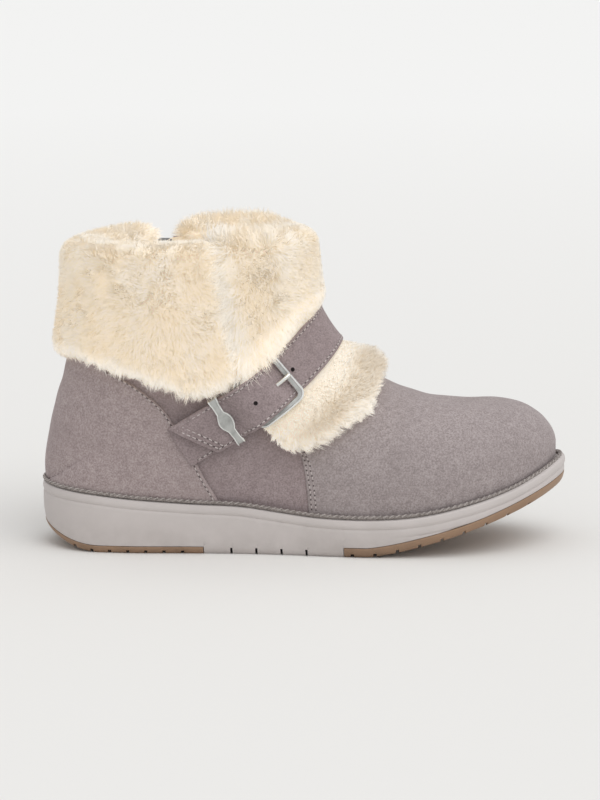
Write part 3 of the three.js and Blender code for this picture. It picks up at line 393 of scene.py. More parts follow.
def route(rows):
    # follows places seen from the side: at(s, w, height) is s along it, w to its left and height off
    # the surface
    crosses = any(r["side"] != rows[0]["side"] for r in rows)
    if crosses:
        x, z, side = (np.array([r[k] for r in rows], float) for k in ("x", "z", "side"))
    else:
        x, z = denser(rows, 24)
        side = rows[0]["side"]
    u, v = place(x, z, side)
    key = v if crosses else np.arange(len(u), dtype=float)
    placed = [{"key": k, "u": a, "v": b} for k, a, b in zip(key, u, v)]
    uAt, vAt = through(placed, "key", "u"), through(placed, "key", "v")
    keys = np.linspace(key[0], key[-1], 301)
    line = surface(uAt(keys), vAt(keys))
    run = np.concatenate([[0], np.cumsum(np.linalg.norm(np.diff(line, axis=0), axis=1))])
    length = run[-1]
    slopes = [(way(keys[3]) - way(keys[0])) / (keys[3] - keys[0]) for way in (uAt, vAt)]
    perMillimetre = (keys[3] - keys[0]) / run[3]

    def at(s, w=0.0, height=0.0):
        s, w, height = np.broadcast_arrays(*(np.asarray(a, float) for a in (s, w, height)))
        before = np.minimum(s, 0) * perMillimetre  # straight on before its start
        inside = np.clip(s, 0, length)
        k = np.interp(inside, run, keys)
        ahead, behind = (np.interp(np.clip(inside + d, 0, length), run, keys) for d in (0.5, -0.5))
        forward = unit(surface(uAt(ahead), vAt(ahead)) - surface(uAt(behind), vAt(behind)))
        u, v = uAt(k) + before * slopes[0], vAt(k) + before * slopes[1]
        steps, e = 5, 0.01
        for _ in range(steps):
            across = unit(np.cross(normal(u, v), forward)) * (w / steps)[..., None]
            alongU = (surface(u + e, v) - surface(u - e, v)) / (2 * e)
            alongV = (surface(u, v + e) - surface(u, v - e)) / (2 * e)
            uu, uv, vv = ((a * b).sum(-1) for a, b in ((alongU, alongU), (alongU, alongV), (alongV, alongV)))
            a, b = (alongU * across).sum(-1), (alongV * across).sum(-1)
            det = uu * vv - uv * uv
            u, v = u + (a * vv - b * uv) / det, v + (b * uu - a * uv) / det
        return raised(u, v, height)

    return {"length": length, "at": at, "sectionAt": uAt}


def sideRows(rows):
    return table("x z side", *rows)


strapRoute = route(
    sideRows(
        [
            (70.2, 54.8, -1),
            (85.2, 64.1, -1),
            (101.2, 74.4, -1),
            (116.2, 85.0, -1),
            (129, 96.1, -1),
            (137.6, 105.0, -1),
            (142, 110.0, -1),
            (138, 103.8, 1),
            (128.6, 92.4, 1),
            (116, 79.4, 1),
            (105, 68.3, 1),
            (97, 60.5, 1),
        ]
    )
)
furUnder = 1.3  # fleece pressed flat by the strap
buckle = {"hinge": 40.0, "length": 23.5, "width": 29.0, "bar": 1.35, "height": 5.9, "corner": 3.4}
rightBar = buckle["hinge"] + buckle["length"]
anchorThickness = 1.3
touch = 0.3
overFur = boot["bedding"] + furUnder + 2 * touch
strapLow = through(
    table(
        "s h",
        (0, 2.6),
        (12, 3.4),
        (22, 4.3),
        (28, 4.3),
        (32, 4.4),
        (buckle["hinge"] - 4.4, 8.0),
        (buckle["hinge"], 9.8),
        (buckle["hinge"] + 7, 9.4),
        (buckle["hinge"] + 13, 8.6),
        (rightBar - 3, overFur + 0.2),
        (rightBar + 4, overFur),
        (rightBar + 30, overFur),
        (400, overFur),
    ),
    "s",
    "h",
)


anchor = {"start": 0.4, "stepFrom": 33.5, "stepTo": 39.0, "lap": 4.2, "lapDrop": 1.5, "half": 11.1}
anchorWrap = buckle["bar"] + 0.55
anchorUnder = min(buckle["height"] - anchorWrap - anchorThickness, overFur)


def anchorLow(s):
    return mix(boot["bedding"], anchorUnder, smooth(anchor["stepFrom"], anchor["stepTo"], s))


def pile(distance, full, least=1.4, reach=9.0):
    # how thick the fleece stands a distance in from an edge
    t = np.clip(distance / reach, 0, 1)
    return mix(least, full, np.sqrt(1 - (1 - t) ** 2))


flapEdge = table(
    "x z",
    (163.7, 73.2),
    (157.0, 68.5),
    (150.6, 65.1),
    (142.0, 59.2),
    (133.3, 55.2),
    (125.0, 55.0),
    (118.5, 57.5),
    (113.0, 64.0),
    (107.5, 77.0),
    (101.5, 91.0),
    (97.0, 107.0),
    (93.0, 125.0),
    (90.0, 151.0),
)
zipEdge = table("x z", (107.5, 77.0), (97.0, 90.0), (84.0, 98.0), (73.5, 112.0), (71.5, 130.0), (70.5, 150.5))
flapTip = 9.05


def edgeOf(rows, side):
    u, v = place([r["x"] for r in rows], [r["z"] for r in rows], side)
    placed = [{"u": flapTip, "v": 0.02}] + [{"u": a, "v": abs(b)} for a, b in zip(u, v)]
    return through(placed, "u", "v")


outerEdge = edgeOf(flapEdge, -1)
innerEdge = edgeOf(flapEdge[:8] + zipEdge, 1)
rearRows = sideRows(
    [
        (103, 93, -1),
        (94, 87.5, -1),
        (86, 84, -1),
        (77.6, 84, -1),
        (69, 86.5, -1),
        (58.7, 90, -1),
        (50, 93, -1),
        (40, 95.5, -1),
        (30.9, 97, -1),
        (22, 98.5, -1),
        (22, 98.5, 1),
        (30, 98.5, 1),
        (42, 98, 1),
        (50.5, 99, 1),
    ]
)
rearPlaces = []
for r in reversed(rearRows):
    u, v = place(r["x"], r["z"], r["side"])
    rearPlaces.append({"turn": float(v) if r["side"] < 0 else float(v) - 2, "u": float(u)})
rearLow = through(rearPlaces, "turn", "u")
zipSide = float(place(51, 150, 1)[1]) - 2


rollEnd = 2.6  # the sheet turns in until its edge is buried in the lining


def fold(u, v, down, thickness):
    # one sheet of a cuff: down is 0 at its lower edge, 1 at the collar and then runs on over the roll
    u, v, down, thickness = np.broadcast_arrays(*(np.asarray(a, float) for a in (u, v, down, thickness)))
    flat = raised(u, v, boot["bedding"] + 0.3 + thickness)
    angle = np.maximum(down - 1, 0) * np.pi * 0.9
    out = normal(np.full(v.shape, float(collar)), v)
    out[..., 2] = 0
    out = unit(out)
    across = boot["wall"] / 2 + boot["bedding"] + thickness
    up = boot["bedding"] + thickness * 0.62
    outwards = across * np.cos(angle) - boot["wall"] / 2
    rolled = surface(np.full(v.shape, float(collar)), v) + out * outwards[..., None]
    rolled[..., 2] += up * np.sin(angle)
    return np.where((down <= 1)[..., None], flat, rolled)


def rearSheet(thick, rows=40, columns=120):
    # the rear cuff's places: rows from the lower edge over the roll, columns from the outer split to the zip
    down = np.concatenate([np.linspace(0, 1, rows) ** 1.3, np.linspace(1.06, rollEnd, rows // 2)])[:, None]
    share = np.linspace(0, 1, columns)[None, :]
    side = np.where(share < 0.5, 1 - share / 0.5, (share - 0.5) / 0.5) ** 1.4
    u = np.full((down.size, columns), float(collar))

    def start(at):
        return -outerEdge(at) - 0.012

    def turn(at):
        return -1 + (np.where(share < 0.5, start(at), zipSide) + 1) * side

    for _ in range(6):
        u = mix(rearLow(turn(u)), collar, np.minimum(down, 1))
    v = turn(u)
    here = surface(u, v)
    fromLow = np.linalg.norm(here - surface(rearLow(v), v), axis=-1)
    fromOuter = np.linalg.norm(here - surface(u, start(u)), axis=-1)
    fromZip = np.linalg.norm(here - surface(u, zipSide), axis=-1)
    full = np.minimum(pile(fromLow, 10), pile(np.minimum(fromOuter, fromZip) + 2, 10))
    return {
        "points": fold(u, v, down, thick * full * np.where(down > 1, 0.95, 1)),
        "fromLow": fromLow,
        "fromOuter": fromOuter,
        "fromZip": fromZip,
        "down": down * np.ones_like(u),
        "outward": -1,
    }


def frontSheet(thick, columns=110):
    # the front flap's places: below the strap, beside it, above it to the collar and over the roll
    below, above = np.linspace(0, 1, 26) ** 1.2, np.linspace(0, 1, 26)
    beside, roll = np.linspace(-1, 1, 9)[1:-1], np.linspace(1.06, rollEnd, 20)
    sizes = (below.size, beside.size, above.size + roll.size)
    kind = np.repeat([-1.0, 0.0, 1.0], sizes)[:, None]
    value = np.concatenate([below, beside, above, np.ones(roll.size)])[:, None]
    down = np.concatenate([np.ones(below.size + beside.size + above.size), roll])[:, None]
    share = np.linspace(0, 1, columns)[None, :]
    calm = boot["strapWidth"] / 2 + 2  # from the strap's middle to where the fleece starts to swell
    soft = 8.0  # how far the fleece takes to swell up beside the strap
    u = np.full((kind.size, columns), 12.0)
    for _ in range(12):
        v = mix(-outerEdge(u), innerEdge(u), share)
        middle = strapRoute["sectionAt"](v)
        half = calm + 3.5 * smooth(-0.16, -0.22, v) * smooth(-0.62, -0.56, v)
        perSection = np.linalg.norm(surface(middle + 0.2, v) - surface(middle - 0.2, v), axis=-1) / 0.4
        step = (half + np.where(kind == 0, 0, soft)) / perSection
        under = mix(flapTip, np.maximum(middle - step, flapTip + 0.3), value)
        over = mix(middle + step, collar, value)
        u = np.where(kind < 0, under, np.where(kind > 0, over, middle + value * step))
    here = surface(u, v)
    fromOuter = np.linalg.norm(here - surface(u, -outerEdge(u)), axis=-1)
    fromZip = np.linalg.norm(here - surface(u, innerEdge(u)), axis=-1)
    tip = np.linalg.norm(here - surface(flapTip, 0.0), axis=-1)
    full = np.minimum(pile(np.minimum(fromOuter, fromZip), 11), pile(tip, 9))
    full = np.where(kind == 0, np.minimum(full, furUnder), full)
    fromStrap = np.where(kind < 0, (1 - value) * 30, np.where(kind > 0, value * 40, 0)) * np.ones_like(u)
    return {
        "points": fold(u, v, down, thick * full),
        "fromLow": np.where(kind < 0, np.minimum(fromOuter, tip), 60.0) * np.ones_like(u),
        "fromOuter": fromOuter,
        "fromZip": fromZip,
        "fromStrap": fromStrap,
        "kind": kind * np.ones_like(u),
        "down": down * np.ones_like(u),
        "outward": 1,
    }


# ---- finishes


def paint(red, green, blue):
    # a colour as a paint shop names it, 0 to 255, turned to linear light
    values = []
    for c in (red, green, blue):
        c /= 255
        values.append(c / 12.92 if c <= 0.04045 else ((c + 0.055) / 1.055) ** 2.4)
    return (*values, 1.0)


def addNode(tree, kind, inputs=None, **settings):
    made = tree.nodes.new(kind)
    for name, value in settings.items():
        setattr(made, name, value)
    for name, value in (inputs or {}).items():
        socket = made.inputs[name]
        if isinstance(value, bpy.types.NodeSocket):
            tree.links.new(value, socket)
        else:
            socket.default_value = value
    return made


def mixColor(tree, factor, first, second, blend="MIX"):
    sockets = {0: factor, 6: first, 7: second}
    made = addNode(tree, "ShaderNodeMix", sockets, data_type="RGBA", blend_type=blend)
    return made.outputs[2]


def mathNode(tree, operation, first, second=0.5, clamp=False):
    made = addNode(tree, "ShaderNodeMath", {0: first, 1: second}, operation=operation, use_clamp=clamp)
    return made.outputs[0]


def spread(tree, value, low, high, toLow=0.0, toHigh=1.0):
    sockets = {"Value": value, "From Min": low, "From Max": high, "To Min": toLow, "To Max": toHigh}
    return addNode(tree, "ShaderNodeMapRange", sockets).outputs["Result"]


def noise(tree, where, scale, detail=3.0, roughness=0.6, **inputs):
    sockets = {"Vector": where, "Scale": scale, "Detail": detail, "Roughness": roughness, **inputs}
    return addNode(tree, "ShaderNodeTexNoise", sockets).outputs["Fac"]


def newGroup(name, inputs, outputs):
    tree = bpy.data.node_groups.new(name, "ShaderNodeTree")
    for label, kind, value in inputs:
        socket = tree.interface.new_socket(name=label, in_out="INPUT", socket_type="NodeSocket" + kind)
        socket.default_value = value
    for label, kind in outputs:
        tree.interface.new_socket(name=label, in_out="OUTPUT", socket_type="NodeSocket" + kind)
    return tree, tree.nodes.new("NodeGroupInput").outputs, tree.nodes.new("NodeGroupOutput").inputs


def napGroup():
    # brushed suede: a fine mottled nap, paler where it is brushed one way and darker the other
    tree, given, out = newGroup(
        "suedeNap",
        [("Color", "Color", (0.4, 0.35, 0.35, 1)), ("Pale", "Color", (0.5, 0.45, 0.45, 1))]
        + [("Dark", "Color", (0.3, 0.25, 0.25, 1)), ("Grain", "Float", 1150.0), ("Patches", "Float", 0.35)],
        [("Color", "Color"), ("Height", "Float")],
    )
    spot = addNode(tree, "ShaderNodeTexCoord").outputs["Object"]
    fine = noise(tree, spot, given["Grain"], 4.0, 0.75)
    mid = noise(tree, spot, 260.0, 3.0, 0.6)
    broad = noise(tree, spot, 34.0, 3.0, 0.55, Distortion=0.6)
    fibre = noise(tree, spot, mathNode(tree, "MULTIPLY", given["Grain"], 2.3), 2.0, 0.5)
    grain = mathNode(tree, "ADD", mathNode(tree, "MULTIPLY", fine, 0.8), mathNode(tree, "MULTIPLY", mid, 0.2))
    pale = mixColor(tree, spread(tree, grain, 0.5, 0.6), given["Color"], given["Pale"])
    dark = mixColor(tree, spread(tree, grain, 0.49, 0.4), pale, given["Dark"])
    brushed = mathNode(tree, "MULTIPLY", spread(tree, broad, 0.38, 0.62), given["Patches"])
    tree.links.new(mixColor(tree, brushed, dark, given["Dark"]), out["Color"])
    high = mathNode(tree, "ADD", grain, mathNode(tree, "MULTIPLY", fibre, 0.5))
    tree.links.new(high, out["Height"])
    return tree


def fleeceGroup():
    # wool from its root to its tip, in cooler and warmer locks; a tint below zero mixes in a duller colour
    # that is painted shade
    tree, given, out = newGroup(
        "woolLocks",
        [("Root", "Color", paint(231, 212, 180)), ("Warm", "Color", paint(246, 232, 209))]
        + [("Cool", "Color", paint(243, 238, 229)), ("DullAndShade", "Color", paint(200, 184, 161))]
        + [("Along", "Float", 0.5), ("Tint", "Float", 0.5)],
        [("Color", "Color"), ("Height", "Float")],
    )
    spot = addNode(tree, "ShaderNodeTexCoord").outputs["Object"]
    locks = noise(tree, spot, 120.0, 3.0, 0.6)
    curl = noise(tree, spot, 620.0, 4.0, 0.65, Distortion=0.8)
    warmth = mathNode(tree, "ADD", given["Tint"], spread(tree, locks, 0.3, 0.7, -0.22, 0.22), clamp=True)
    body = mixColor(tree, warmth, given["Cool"], given["Warm"])
    # painted shade: a tint below zero dulls the wool where it lies in shade
    body = mixColor(tree, spread(tree, given["Tint"], -0.1, -1.0), body, given["DullAndShade"])
    rooted = mixColor(tree, spread(tree, given["Along"], 0.0, 0.6, 0.7, 0.0), body, given["Root"])
    tree.links.new(rooted, out["Color"])
    tree.links.new(curl, out["Height"])
    return tree


def rubberGroup():
    # moulded foam and gum: a faint mottle, scuffs, and dust that gathers low down
    tree, given, out = newGroup(
        "mouldedRubber",
        [("Color", "Color", (0.5, 0.5, 0.5, 1)), ("Dust", "Color", (0.3, 0.28, 0.26, 1))]
        + [("Amount", "Float", 0.3), ("Base Roughness", "Float", 0.6)]
        + [("Low", "Float", 0.0), ("High", "Float", 0.02)],
        [("Color", "Color"), ("Roughness", "Float"), ("Height", "Float")],
    )
    spot = addNode(tree, "ShaderNodeTexCoord").outputs["Object"]
    height = addNode(tree, "ShaderNodeSeparateXYZ", {"Vector": spot}).outputs["Z"]
    cloud = noise(tree, spot, 60.0, 4.0, 0.6)
    speck = noise(tree, spot, 1500.0, 2.0, 0.5)
    low = spread(tree, height, given["High"], given["Low"])
    settled = mathNode(tree, "MULTIPLY", low, spread(tree, cloud, 0.35, 0.7))
    dusty = mathNode(tree, "MULTIPLY", settled, given["Amount"])
    mottled = mixColor(tree, spread(tree, cloud, 0.3, 0.75, 0.0, 0.14), given["Color"], given["Dust"])
    tree.links.new(mixColor(tree, dusty, mottled, given["Dust"]), out["Color"])
    uneven = spread(tree, cloud, 0.3, 0.7, -0.06, 0.1)
    rough = mathNode(tree, "ADD", given["Base Roughness"], uneven, clamp=True)
    tree.links.new(rough, out["Roughness"])
    tree.links.new(speck, out["Height"])
    return tree


def metalGroup():
    # satin nickel: a drawn grain, small scratches and a little dullness in patches
    tree, given, out = newGroup(
        "satinNickel",
        [("Color", "Color", (0.7, 0.7, 0.7, 1)), ("DullAndShade", "Color", (0.4, 0.4, 0.4, 1))]
        + [("Polish", "Float", 0.3)],
        [("Color", "Color"), ("Roughness", "Float"), ("Height", "Float")],
    )
    spot = addNode(tree, "ShaderNodeTexCoord").outputs["Object"]
    drawn = addNode(tree, "ShaderNodeMapping", {"Vector": spot, "Scale": (1.0, 1.0, 6.0)}).outputs["Vector"]
    grain = noise(tree, drawn, 900.0, 4.0, 0.7)
    patch = noise(tree, spot, 190.0, 3.0, 0.6)
    body = mixColor(tree, spread(tree, patch, 0.42, 0.7), given["Color"], given["DullAndShade"])
    tree.links.new(body, out["Color"])
    uneven = spread(tree, patch, 0.3, 0.7, -0.06, 0.16)
    tree.links.new(mathNode(tree, "ADD", given["Polish"], uneven), out["Roughness"])
    tree.links.new(grain, out["Height"])
    return tree


groups = {"nap": napGroup(), "wool": fleeceGroup(), "rubber": rubberGroup(), "nickel": metalGroup()}


def newMaterial(name, group, values, bump, links=(), **shader):
    # a Principled material whose changing parts come from one shared group
    material = bpy.data.materials.new(name)
    material.use_nodes = True
    tree = material.node_tree
    principled = tree.nodes["Principled BSDF"]
    for socket, value in shader.items():
        principled.inputs[socket.replace("_", " ")].default_value = value
    made = addNode(tree, "ShaderNodeGroup")
    made.node_tree = groups[group]
    for socket, value in values.items():
        made.inputs[socket].default_value = value
    for socket, attribute in links:
        source = addNode(tree, "ShaderNodeAttribute", attribute_name=attribute)
        tree.links.new(source.outputs["Fac"], made.inputs[socket])
    tree.links.new(made.outputs["Color"], principled.inputs["Base Color"])
    if "Roughness" in made.outputs:
        tree.links.new(made.outputs["Roughness"], principled.inputs["Roughness"])
    if bump:
        height = {"Height": made.outputs["Height"], "Distance": bump[0], "Strength": bump[1]}
        raisedUp = addNode(tree, "ShaderNodeBump", height)
        tree.links.new(raisedUp.outputs["Normal"], principled.inputs["Normal"])
    return material


def suede(name, color, pale, dark, patches=0.35):
    values = {"Color": paint(*color), "Pale": paint(*pale), "Dark": paint(*dark), "Patches": patches}
    return newMaterial(
        name,
        "nap",
        values,
        (0.00025, 0.7),
        Roughness=0.95,
        Specular_IOR_Level=0.2,
        Sheen_Weight=0.25,
        Sheen_Roughness=0.45,
        Sheen_Tint=paint(215, 205, 205),
    )


def wool(name, bump, values, links=(), glow=0.1):
    # light scatters through wool, and a faint glow of its own colour stands for that
    look = {"Roughness": 0.9, "Specular_IOR_Level": 0.12, "Sheen_Weight": 0.2, "Sheen_Roughness": 0.5}
    material = newMaterial(name, "wool", values, bump, links, **look, Emission_Strength=glow)
    tree = material.node_tree
    principled = tree.nodes["Principled BSDF"]
    tree.links.new(principled.inputs["Base Color"].links[0].from_socket, principled.inputs["Emission Color"])
    return material


def rubber(name, color, dust, amount, roughness, low, high):
    values = {"Color": paint(*color), "Dust": paint(*dust), "Amount": amount, "Base Roughness": roughness}
    values.update({"Low": low, "High": high})
    return newMaterial(name, "rubber", values, (0.00008, 0.35), Specular_IOR_Level=0.4)


def nickel(name, color, dull, polish):
    values = {"Color": paint(*color), "DullAndShade": paint(*dull), "Polish": polish}
    return newMaterial(name, "nickel", values, (0.00003, 0.3), Metallic=1.0)


finish = {
    "vampSuede": suede("vampSuede", (157, 147, 146), (175, 165, 164), (138, 128, 127), 0.2),
    "counterSuede": suede("counterSuede", (162, 148, 147), (180, 167, 165), (143, 129, 128), 0.25),
    "quarterSuede": suede("quarterSuede", (153, 139, 139), (169, 155, 155), (136, 122, 122), 0.25),
    "strapSuede": suede("strapSuede", (147, 133, 133), (163, 149, 149), (129, 116, 116), 0.2),
    "thread": suede("thread", (194, 185, 182), (208, 200, 197), (168, 158, 156), 0.1),
    "cord": suede("cord", (140, 132, 128), (158, 150, 146), (112, 105, 101), 0.1),
    "cordThread": suede("cordThread", (166, 159, 155), (182, 176, 171), (140, 133, 129), 0.1),
    "zipTape": suede("zipTape", (112, 104, 106), (128, 120, 122), (90, 82, 84), 0.2),
    # darker discs at the needle holes: painted shade standing in for the holes' depth
    "pinholeShade": suede("pinholeShade", (92, 82, 82), (104, 94, 94), (76, 67, 67), 0.1),
    # near-black discs in the strap's holes: painted shade for the opening
    "punchedHoleShade": suede("punchedHoleShade", (34, 29, 29), (44, 38, 38), (24, 20, 20), 0.1),
    # the hide's negative tint dulls it a little: painted shade in the gaps between the strands
    "woolBase": wool("woolBase", (0.0012, 0.6), {"Along": 0.4, "Tint": -0.25}, glow=0.18),
    "woolLining": wool("woolLining", (0.0016, 0.9), {"Along": 0.6, "Tint": 0.7}, glow=0.15),
    "woolStrands": wool("woolStrands", None, {}, [("Along", "along"), ("Tint", "tintAndShade")], glow=0.36),
    "foam": rubber("foam", (196, 189, 186), (150, 143, 138), 0.35, 0.55, 0.0, 0.02),
    "gum": rubber("gum", (154, 125, 101), (100, 83, 69), 0.5, 0.5, 0.0, 0.012),
    "nickel": nickel("nickel", (236, 237, 234), (208, 209, 206), 0.24),
    # a darker copy of the nickel for faces turned away or sunk: painted shade
    "nickelShadedFace": nickel("nickelShadedFace", (186, 187, 184), (162, 163, 160), 0.4),
    "zipMetal": nickel("zipMetal", (120, 120, 120), (84, 84, 84), 0.35),
}


def faceSecond(thing, material, isSecond):
    # some faces of a piece in a second finish
    thing.data.materials.append(finish[material])
    for face in thing.data.polygons:
        face.material_index = int(isSecond(face))


def give(thing, material, replaces=()):
    thing.data.materials.clear()
    thing.data.materials.append(finish[material])
    if replaces:
        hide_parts(*replaces)
    return thing


print("finishes ready")

# ---- upper: vamp, quarter and lining


def softCreases(points):
    # the main creases, as listed: a soft trough from one place to the next, with a ridge on each side
    lift = np.zeros(points.shape[:-1])
    x, z, near = points[..., 0], points[..., 2], points[..., 1] < 4
    for c in creases:
        a, b = np.array([c["x0"], c["z0"]]), np.array([c["x1"], c["z1"]])
        along = ((x - a[0]) * (b - a)[0] + (z - a[1]) * (b - a)[1]) / ((b - a) ** 2).sum()
        bow = c["bow"] * 4 * np.clip(along, 0, 1) * (1 - np.clip(along, 0, 1))
        away = ((x - a[0]) * (b - a)[1] - (z - a[1]) * (b - a)[0]) / np.linalg.norm(b - a) - bow
        fade = smooth(-0.12, 0.25, along) * smooth(1.12, 0.75, along)
        t = away / c["width"]
        line = -np.exp(-(t**2)) + 0.45 * np.exp(-((np.abs(t) - 1.9) ** 2))
        lift += c["depth"] * line * fade * (near if c["side"] < 0 else ~near if c["side"] > 0 else 1)
    return lift


creases = table(
    "x0 z0 x1 z1 bow width depth side",
    (183, 80, 168, 46, 2.5, 5.0, 0.55, 0),  # where the foot bends, behind the toes
    (197, 75, 186, 50, 2.0, 6.0, 0.4, 0),
    (171, 70, 150, 48, -2.0, 4.5, 0.45, 0),
    (120, 52, 96, 40, 2.0, 5.0, 0.5, 0),  # under the ankle
    (112, 38, 92, 34, 1.0, 4.0, 0.35, 0),
    (94, 74, 78, 62, 1.5, 3.5, 0.4, -1),
    (8, 70, 40, 62, -2.0, 5.0, 0.45, 0),  # over the heel
    (6, 56, 36, 50, -1.5, 4.5, 0.3, 0),
    (8, 84, 34, 80, -1.0, 4.5, 0.4, 0),
)


def waviness(points):
    # hides are never quite flat
    x, y, z = (points[..., k] for k in range(3))
    wave = np.sin(x / 9.1 + 0.8 * np.sin(z / 11.0)) * np.sin(z / 8.3 + y / 13.0)
    return 0.16 * wave + 0.07 * np.sin(x / 4.3 + z / 5.1 + y / 6.0)


def skin(u, v, height):
    # the surface with its creases and waves in it, height off the last
    base = surface(u, v)
    lift = softCreases(base) + waviness(base)
    calm = smooth(0, 3.5, u) * smooth(1.0, 0.93, np.abs(v) * (np.asarray(u) < heelSection))
    return base + normal(u, v) * (height + lift * calm)[..., None]


upper = {"quarterSink": 1.0, "vampThickness": 1.3, "vampRows": 120, "quarterRows": 170, "around": 150}
seamPlaces = sideRows(
    [
        (134.5, 20.3, -1),
        (134.0, 28.8, -1),
        (133.3, 36.4, -1),
        (131.8, 46.4, -1),
        (128.8, 54.0, -1),
        (126.5, 62.0, -1),
        (128.0, 72.0, -1),
        (136.0, 84.0, -1),
    ]
)
seamRows = []
for r in seamPlaces:
    u, v = place(r["x"], r["z"], -1)
    seamRows.append({"u": float(u), "v": float(v)})
seamRows[0]["v"] = -1.0
seamRows.append({"u": 10.6, "v": 0.0})
vampSeam = through(seamRows, "v", "u")


def seamAt(v):
    return vampSeam(-np.abs(v))


aroundV = np.sin(np.linspace(-1, 1, upper["around"] + 1) * np.pi / 2 * 0.8) / math.sin(np.pi / 2 * 0.8)


def makeVamp():
    # from the toe back to its seam over the quarter, with a rounded cut edge there
    body = np.linspace(0, 1, upper["vampRows"]) ** 0.85 * 0.992
    r = np.concatenate([body, [0.9955, 0.998, 1, 1, 1, 0.997]])
    sink = np.concatenate([np.zeros(upper["vampRows"]), [0.03, 0.12, 0.35, 0.8, 1.15, 1.3]])
    v = aroundV[None, :]
    u = seamAt(v) * r[:, None]
    points = skin(u, v, -(sink / sink[-1] * upper["vampThickness"])[:, None] * np.ones_like(u))
    points[0] = surface(0.0, v[0])
    thing = meshFrom("vamp", points, [gridFaces(r.size, aroundV.size)])
    weld(thing)
    return give(thing, "vampSuede", ["upper"])


def inNotch(points):
    # where the zip's slider parks in the collar
    x, y, z = (points[..., k] for k in range(3))
    return (np.abs(x - zipNotch["x"]) < zipNotch["width"] / 2) & (z > zipNotch["bottom"]) & (y > 20)


zipNotch = {"x": 61.0, "bottom": 142.0, "width": 9.0}


def withoutNotch(points, faces):
    flat = points.reshape(-1, 3)
    return faces[~inNotch(flat[faces].mean(axis=1))]


def makeQuarter():
    r = np.linspace(0, 1, upper["quarterRows"])
    v = np.sort(np.append(aroundV, [-v for v in notchSides()] + list(notchSides())))[None, :]
    u = mix(seamAt(v) - 0.12, float(collar), r[:, None])
    u[-1] = collar
    outside = skin(u, v, np.full(u.shape, -upper["quarterSink"]))
    down = normal(np.full(v.shape, float(collar)), v)[0]
    down[:, 2] = 0
    rim = [outside[-1] - unit(down) * k for k in (1.6, 3.2, 4.6)]
    points = np.concatenate([outside, np.array(rim)])
    thing = meshFrom("quarter", points, [withoutNotch(points, gridFaces(len(points), v.size))])
    weld(thing)
    return give(thing, "quarterSuede", ["upper"])


def notchSides():
    return [float(place(zipNotch["x"] + d * zipNotch["width"] / 2, 149.0, 1)[1]) for d in (-1, 1)]


def liningSheet(rows=70, lift=0.0):
    # the fleece inside, from the toe to the collar
    shaft = np.linspace(heelSection, collar, rows // 2)[1:]
    u = np.concatenate([np.linspace(0.6, heelSection, rows), shaft])[:, None]
    v = np.linspace(-1, 1, 121)[None, :]
    out = normal(u, v)
    atEdge = np.abs(v) == 1
    out[..., 1] = np.where(atEdge & (u >= heelSection), 0, out[..., 1])
    out[..., 2] = np.where((u == collar) | (atEdge & (u <= heelSection)), 0, out[..., 2])
    points = surface(u, v) - unit(out) * (boot["wall"] - 0.4 + lift)
    edge = atEdge & (u <= heelSection)
    points[..., 2] = np.where(edge, soleTop(points[..., 0]) + seat, points[..., 2])
    return points, -unit(out)


def makeLining():
    points, inward = liningSheet()
    fluff = 0.5 * smoothNoise(points, 5.0, 3) + 0.35 * smoothNoise(points, 2.4, 4)
    points = points + inward * (np.maximum(fluff, -0.5) * 0.6 + 0.1)[..., None]
    faces = withoutNotch(points, gridFaces(points.shape[0], points.shape[1], flip=True))
    thing = meshFrom("lining", points, [faces])
    return give(thing, "woolLining", ["upper"])


def smoothNoise(points, size, seed):
    # a smooth value from about -1 to 1 that changes over about size millimetres
    own = np.random.default_rng(seed)
    total = np.zeros(points.shape[:-1])
    for _ in range(7):
        wave = unit(own.normal(size=3)) / (size * own.uniform(0.6, 1.5)) * 1.6
        total += np.sin(points @ wave * 2 + own.uniform(0, 2 * np.pi))
    return total / 3.2


makeVamp()
makeQuarter()
makeLining()
print("upper ready")

# ---- heel counter

counter = {"top": 95.5, "thickness": 1.3, "rows": 70, "columns": 140, "edge": 0.012, "clear": 0.8}
counterSeam = through(
    table(
        "z x",
        (20, 92),
        (28, 89),
        (38, 83.3),
        (48, 78.4),
        (56.5, 73.5),
        (65, 68.7),
        (72.5, 63.8),
        (79.5, 56.5),
        (86.5, 46.7),
        (90.5, 38),
        (95.5, 28.5),
    ),
    "z",
    "x",
)


def backOf(z):
    u = np.linspace(heelSection, collar, 400)
    return np.interp(z, column["bz"](u), column["bx"](u))


def counterPlace(r, t):
    # r from the sole to the top, t from -1 on the outer seam to 1 on the inner one
    r, t = np.broadcast_arrays(np.asarray(r, float), np.asarray(t, float))

    def up(x):
        return mix(soleTop(x) + counter["clear"], counter["top"], r)

    x = np.full(r.shape, 60.0)
    for _ in range(30):
        x = counterSeam(up(x))
    back = backOf(up(np.full(r.shape, 4.0))) + 0.02
    at = back + (x - back) * t * t
    return place(at, up(at), np.where(t < 0, -1, 1))


def makeCounter():
    t = np.linspace(0, 1, counter["columns"] // 2)
    edge = counter["edge"]
    side = np.concatenate([t * (1 - edge * 1.5), [1 - edge, 1 - edge * 0.25, 1, 1, 1]])
    sideHigh = np.concatenate([np.ones(t.size), [0.97, 0.8, 0.55, 0.1, -0.6]])
    columns = np.concatenate([-side[::-1], side[1:]])[None, :]
    columnHigh = np.concatenate([sideHigh[::-1], sideHigh[1:]])[None, :]
    r = np.linspace(0, 1, counter["rows"])[:, None]
    u, v = counterPlace(r, columns)
    high = (counter["thickness"] * columnHigh + 0 * r) - 0.1
    points = skin(u, v, high)
    # the middle column meets itself round the back, so it is drawn in to one line
    thing = meshFrom("heelCounter", points, [gridFaces(r.size, columns.size, flip=True)])
    weld(thing)
    return give(thing, "counterSuede", ["heel_counter"])


makeCounter()
print("counter ready")

# ---- sole


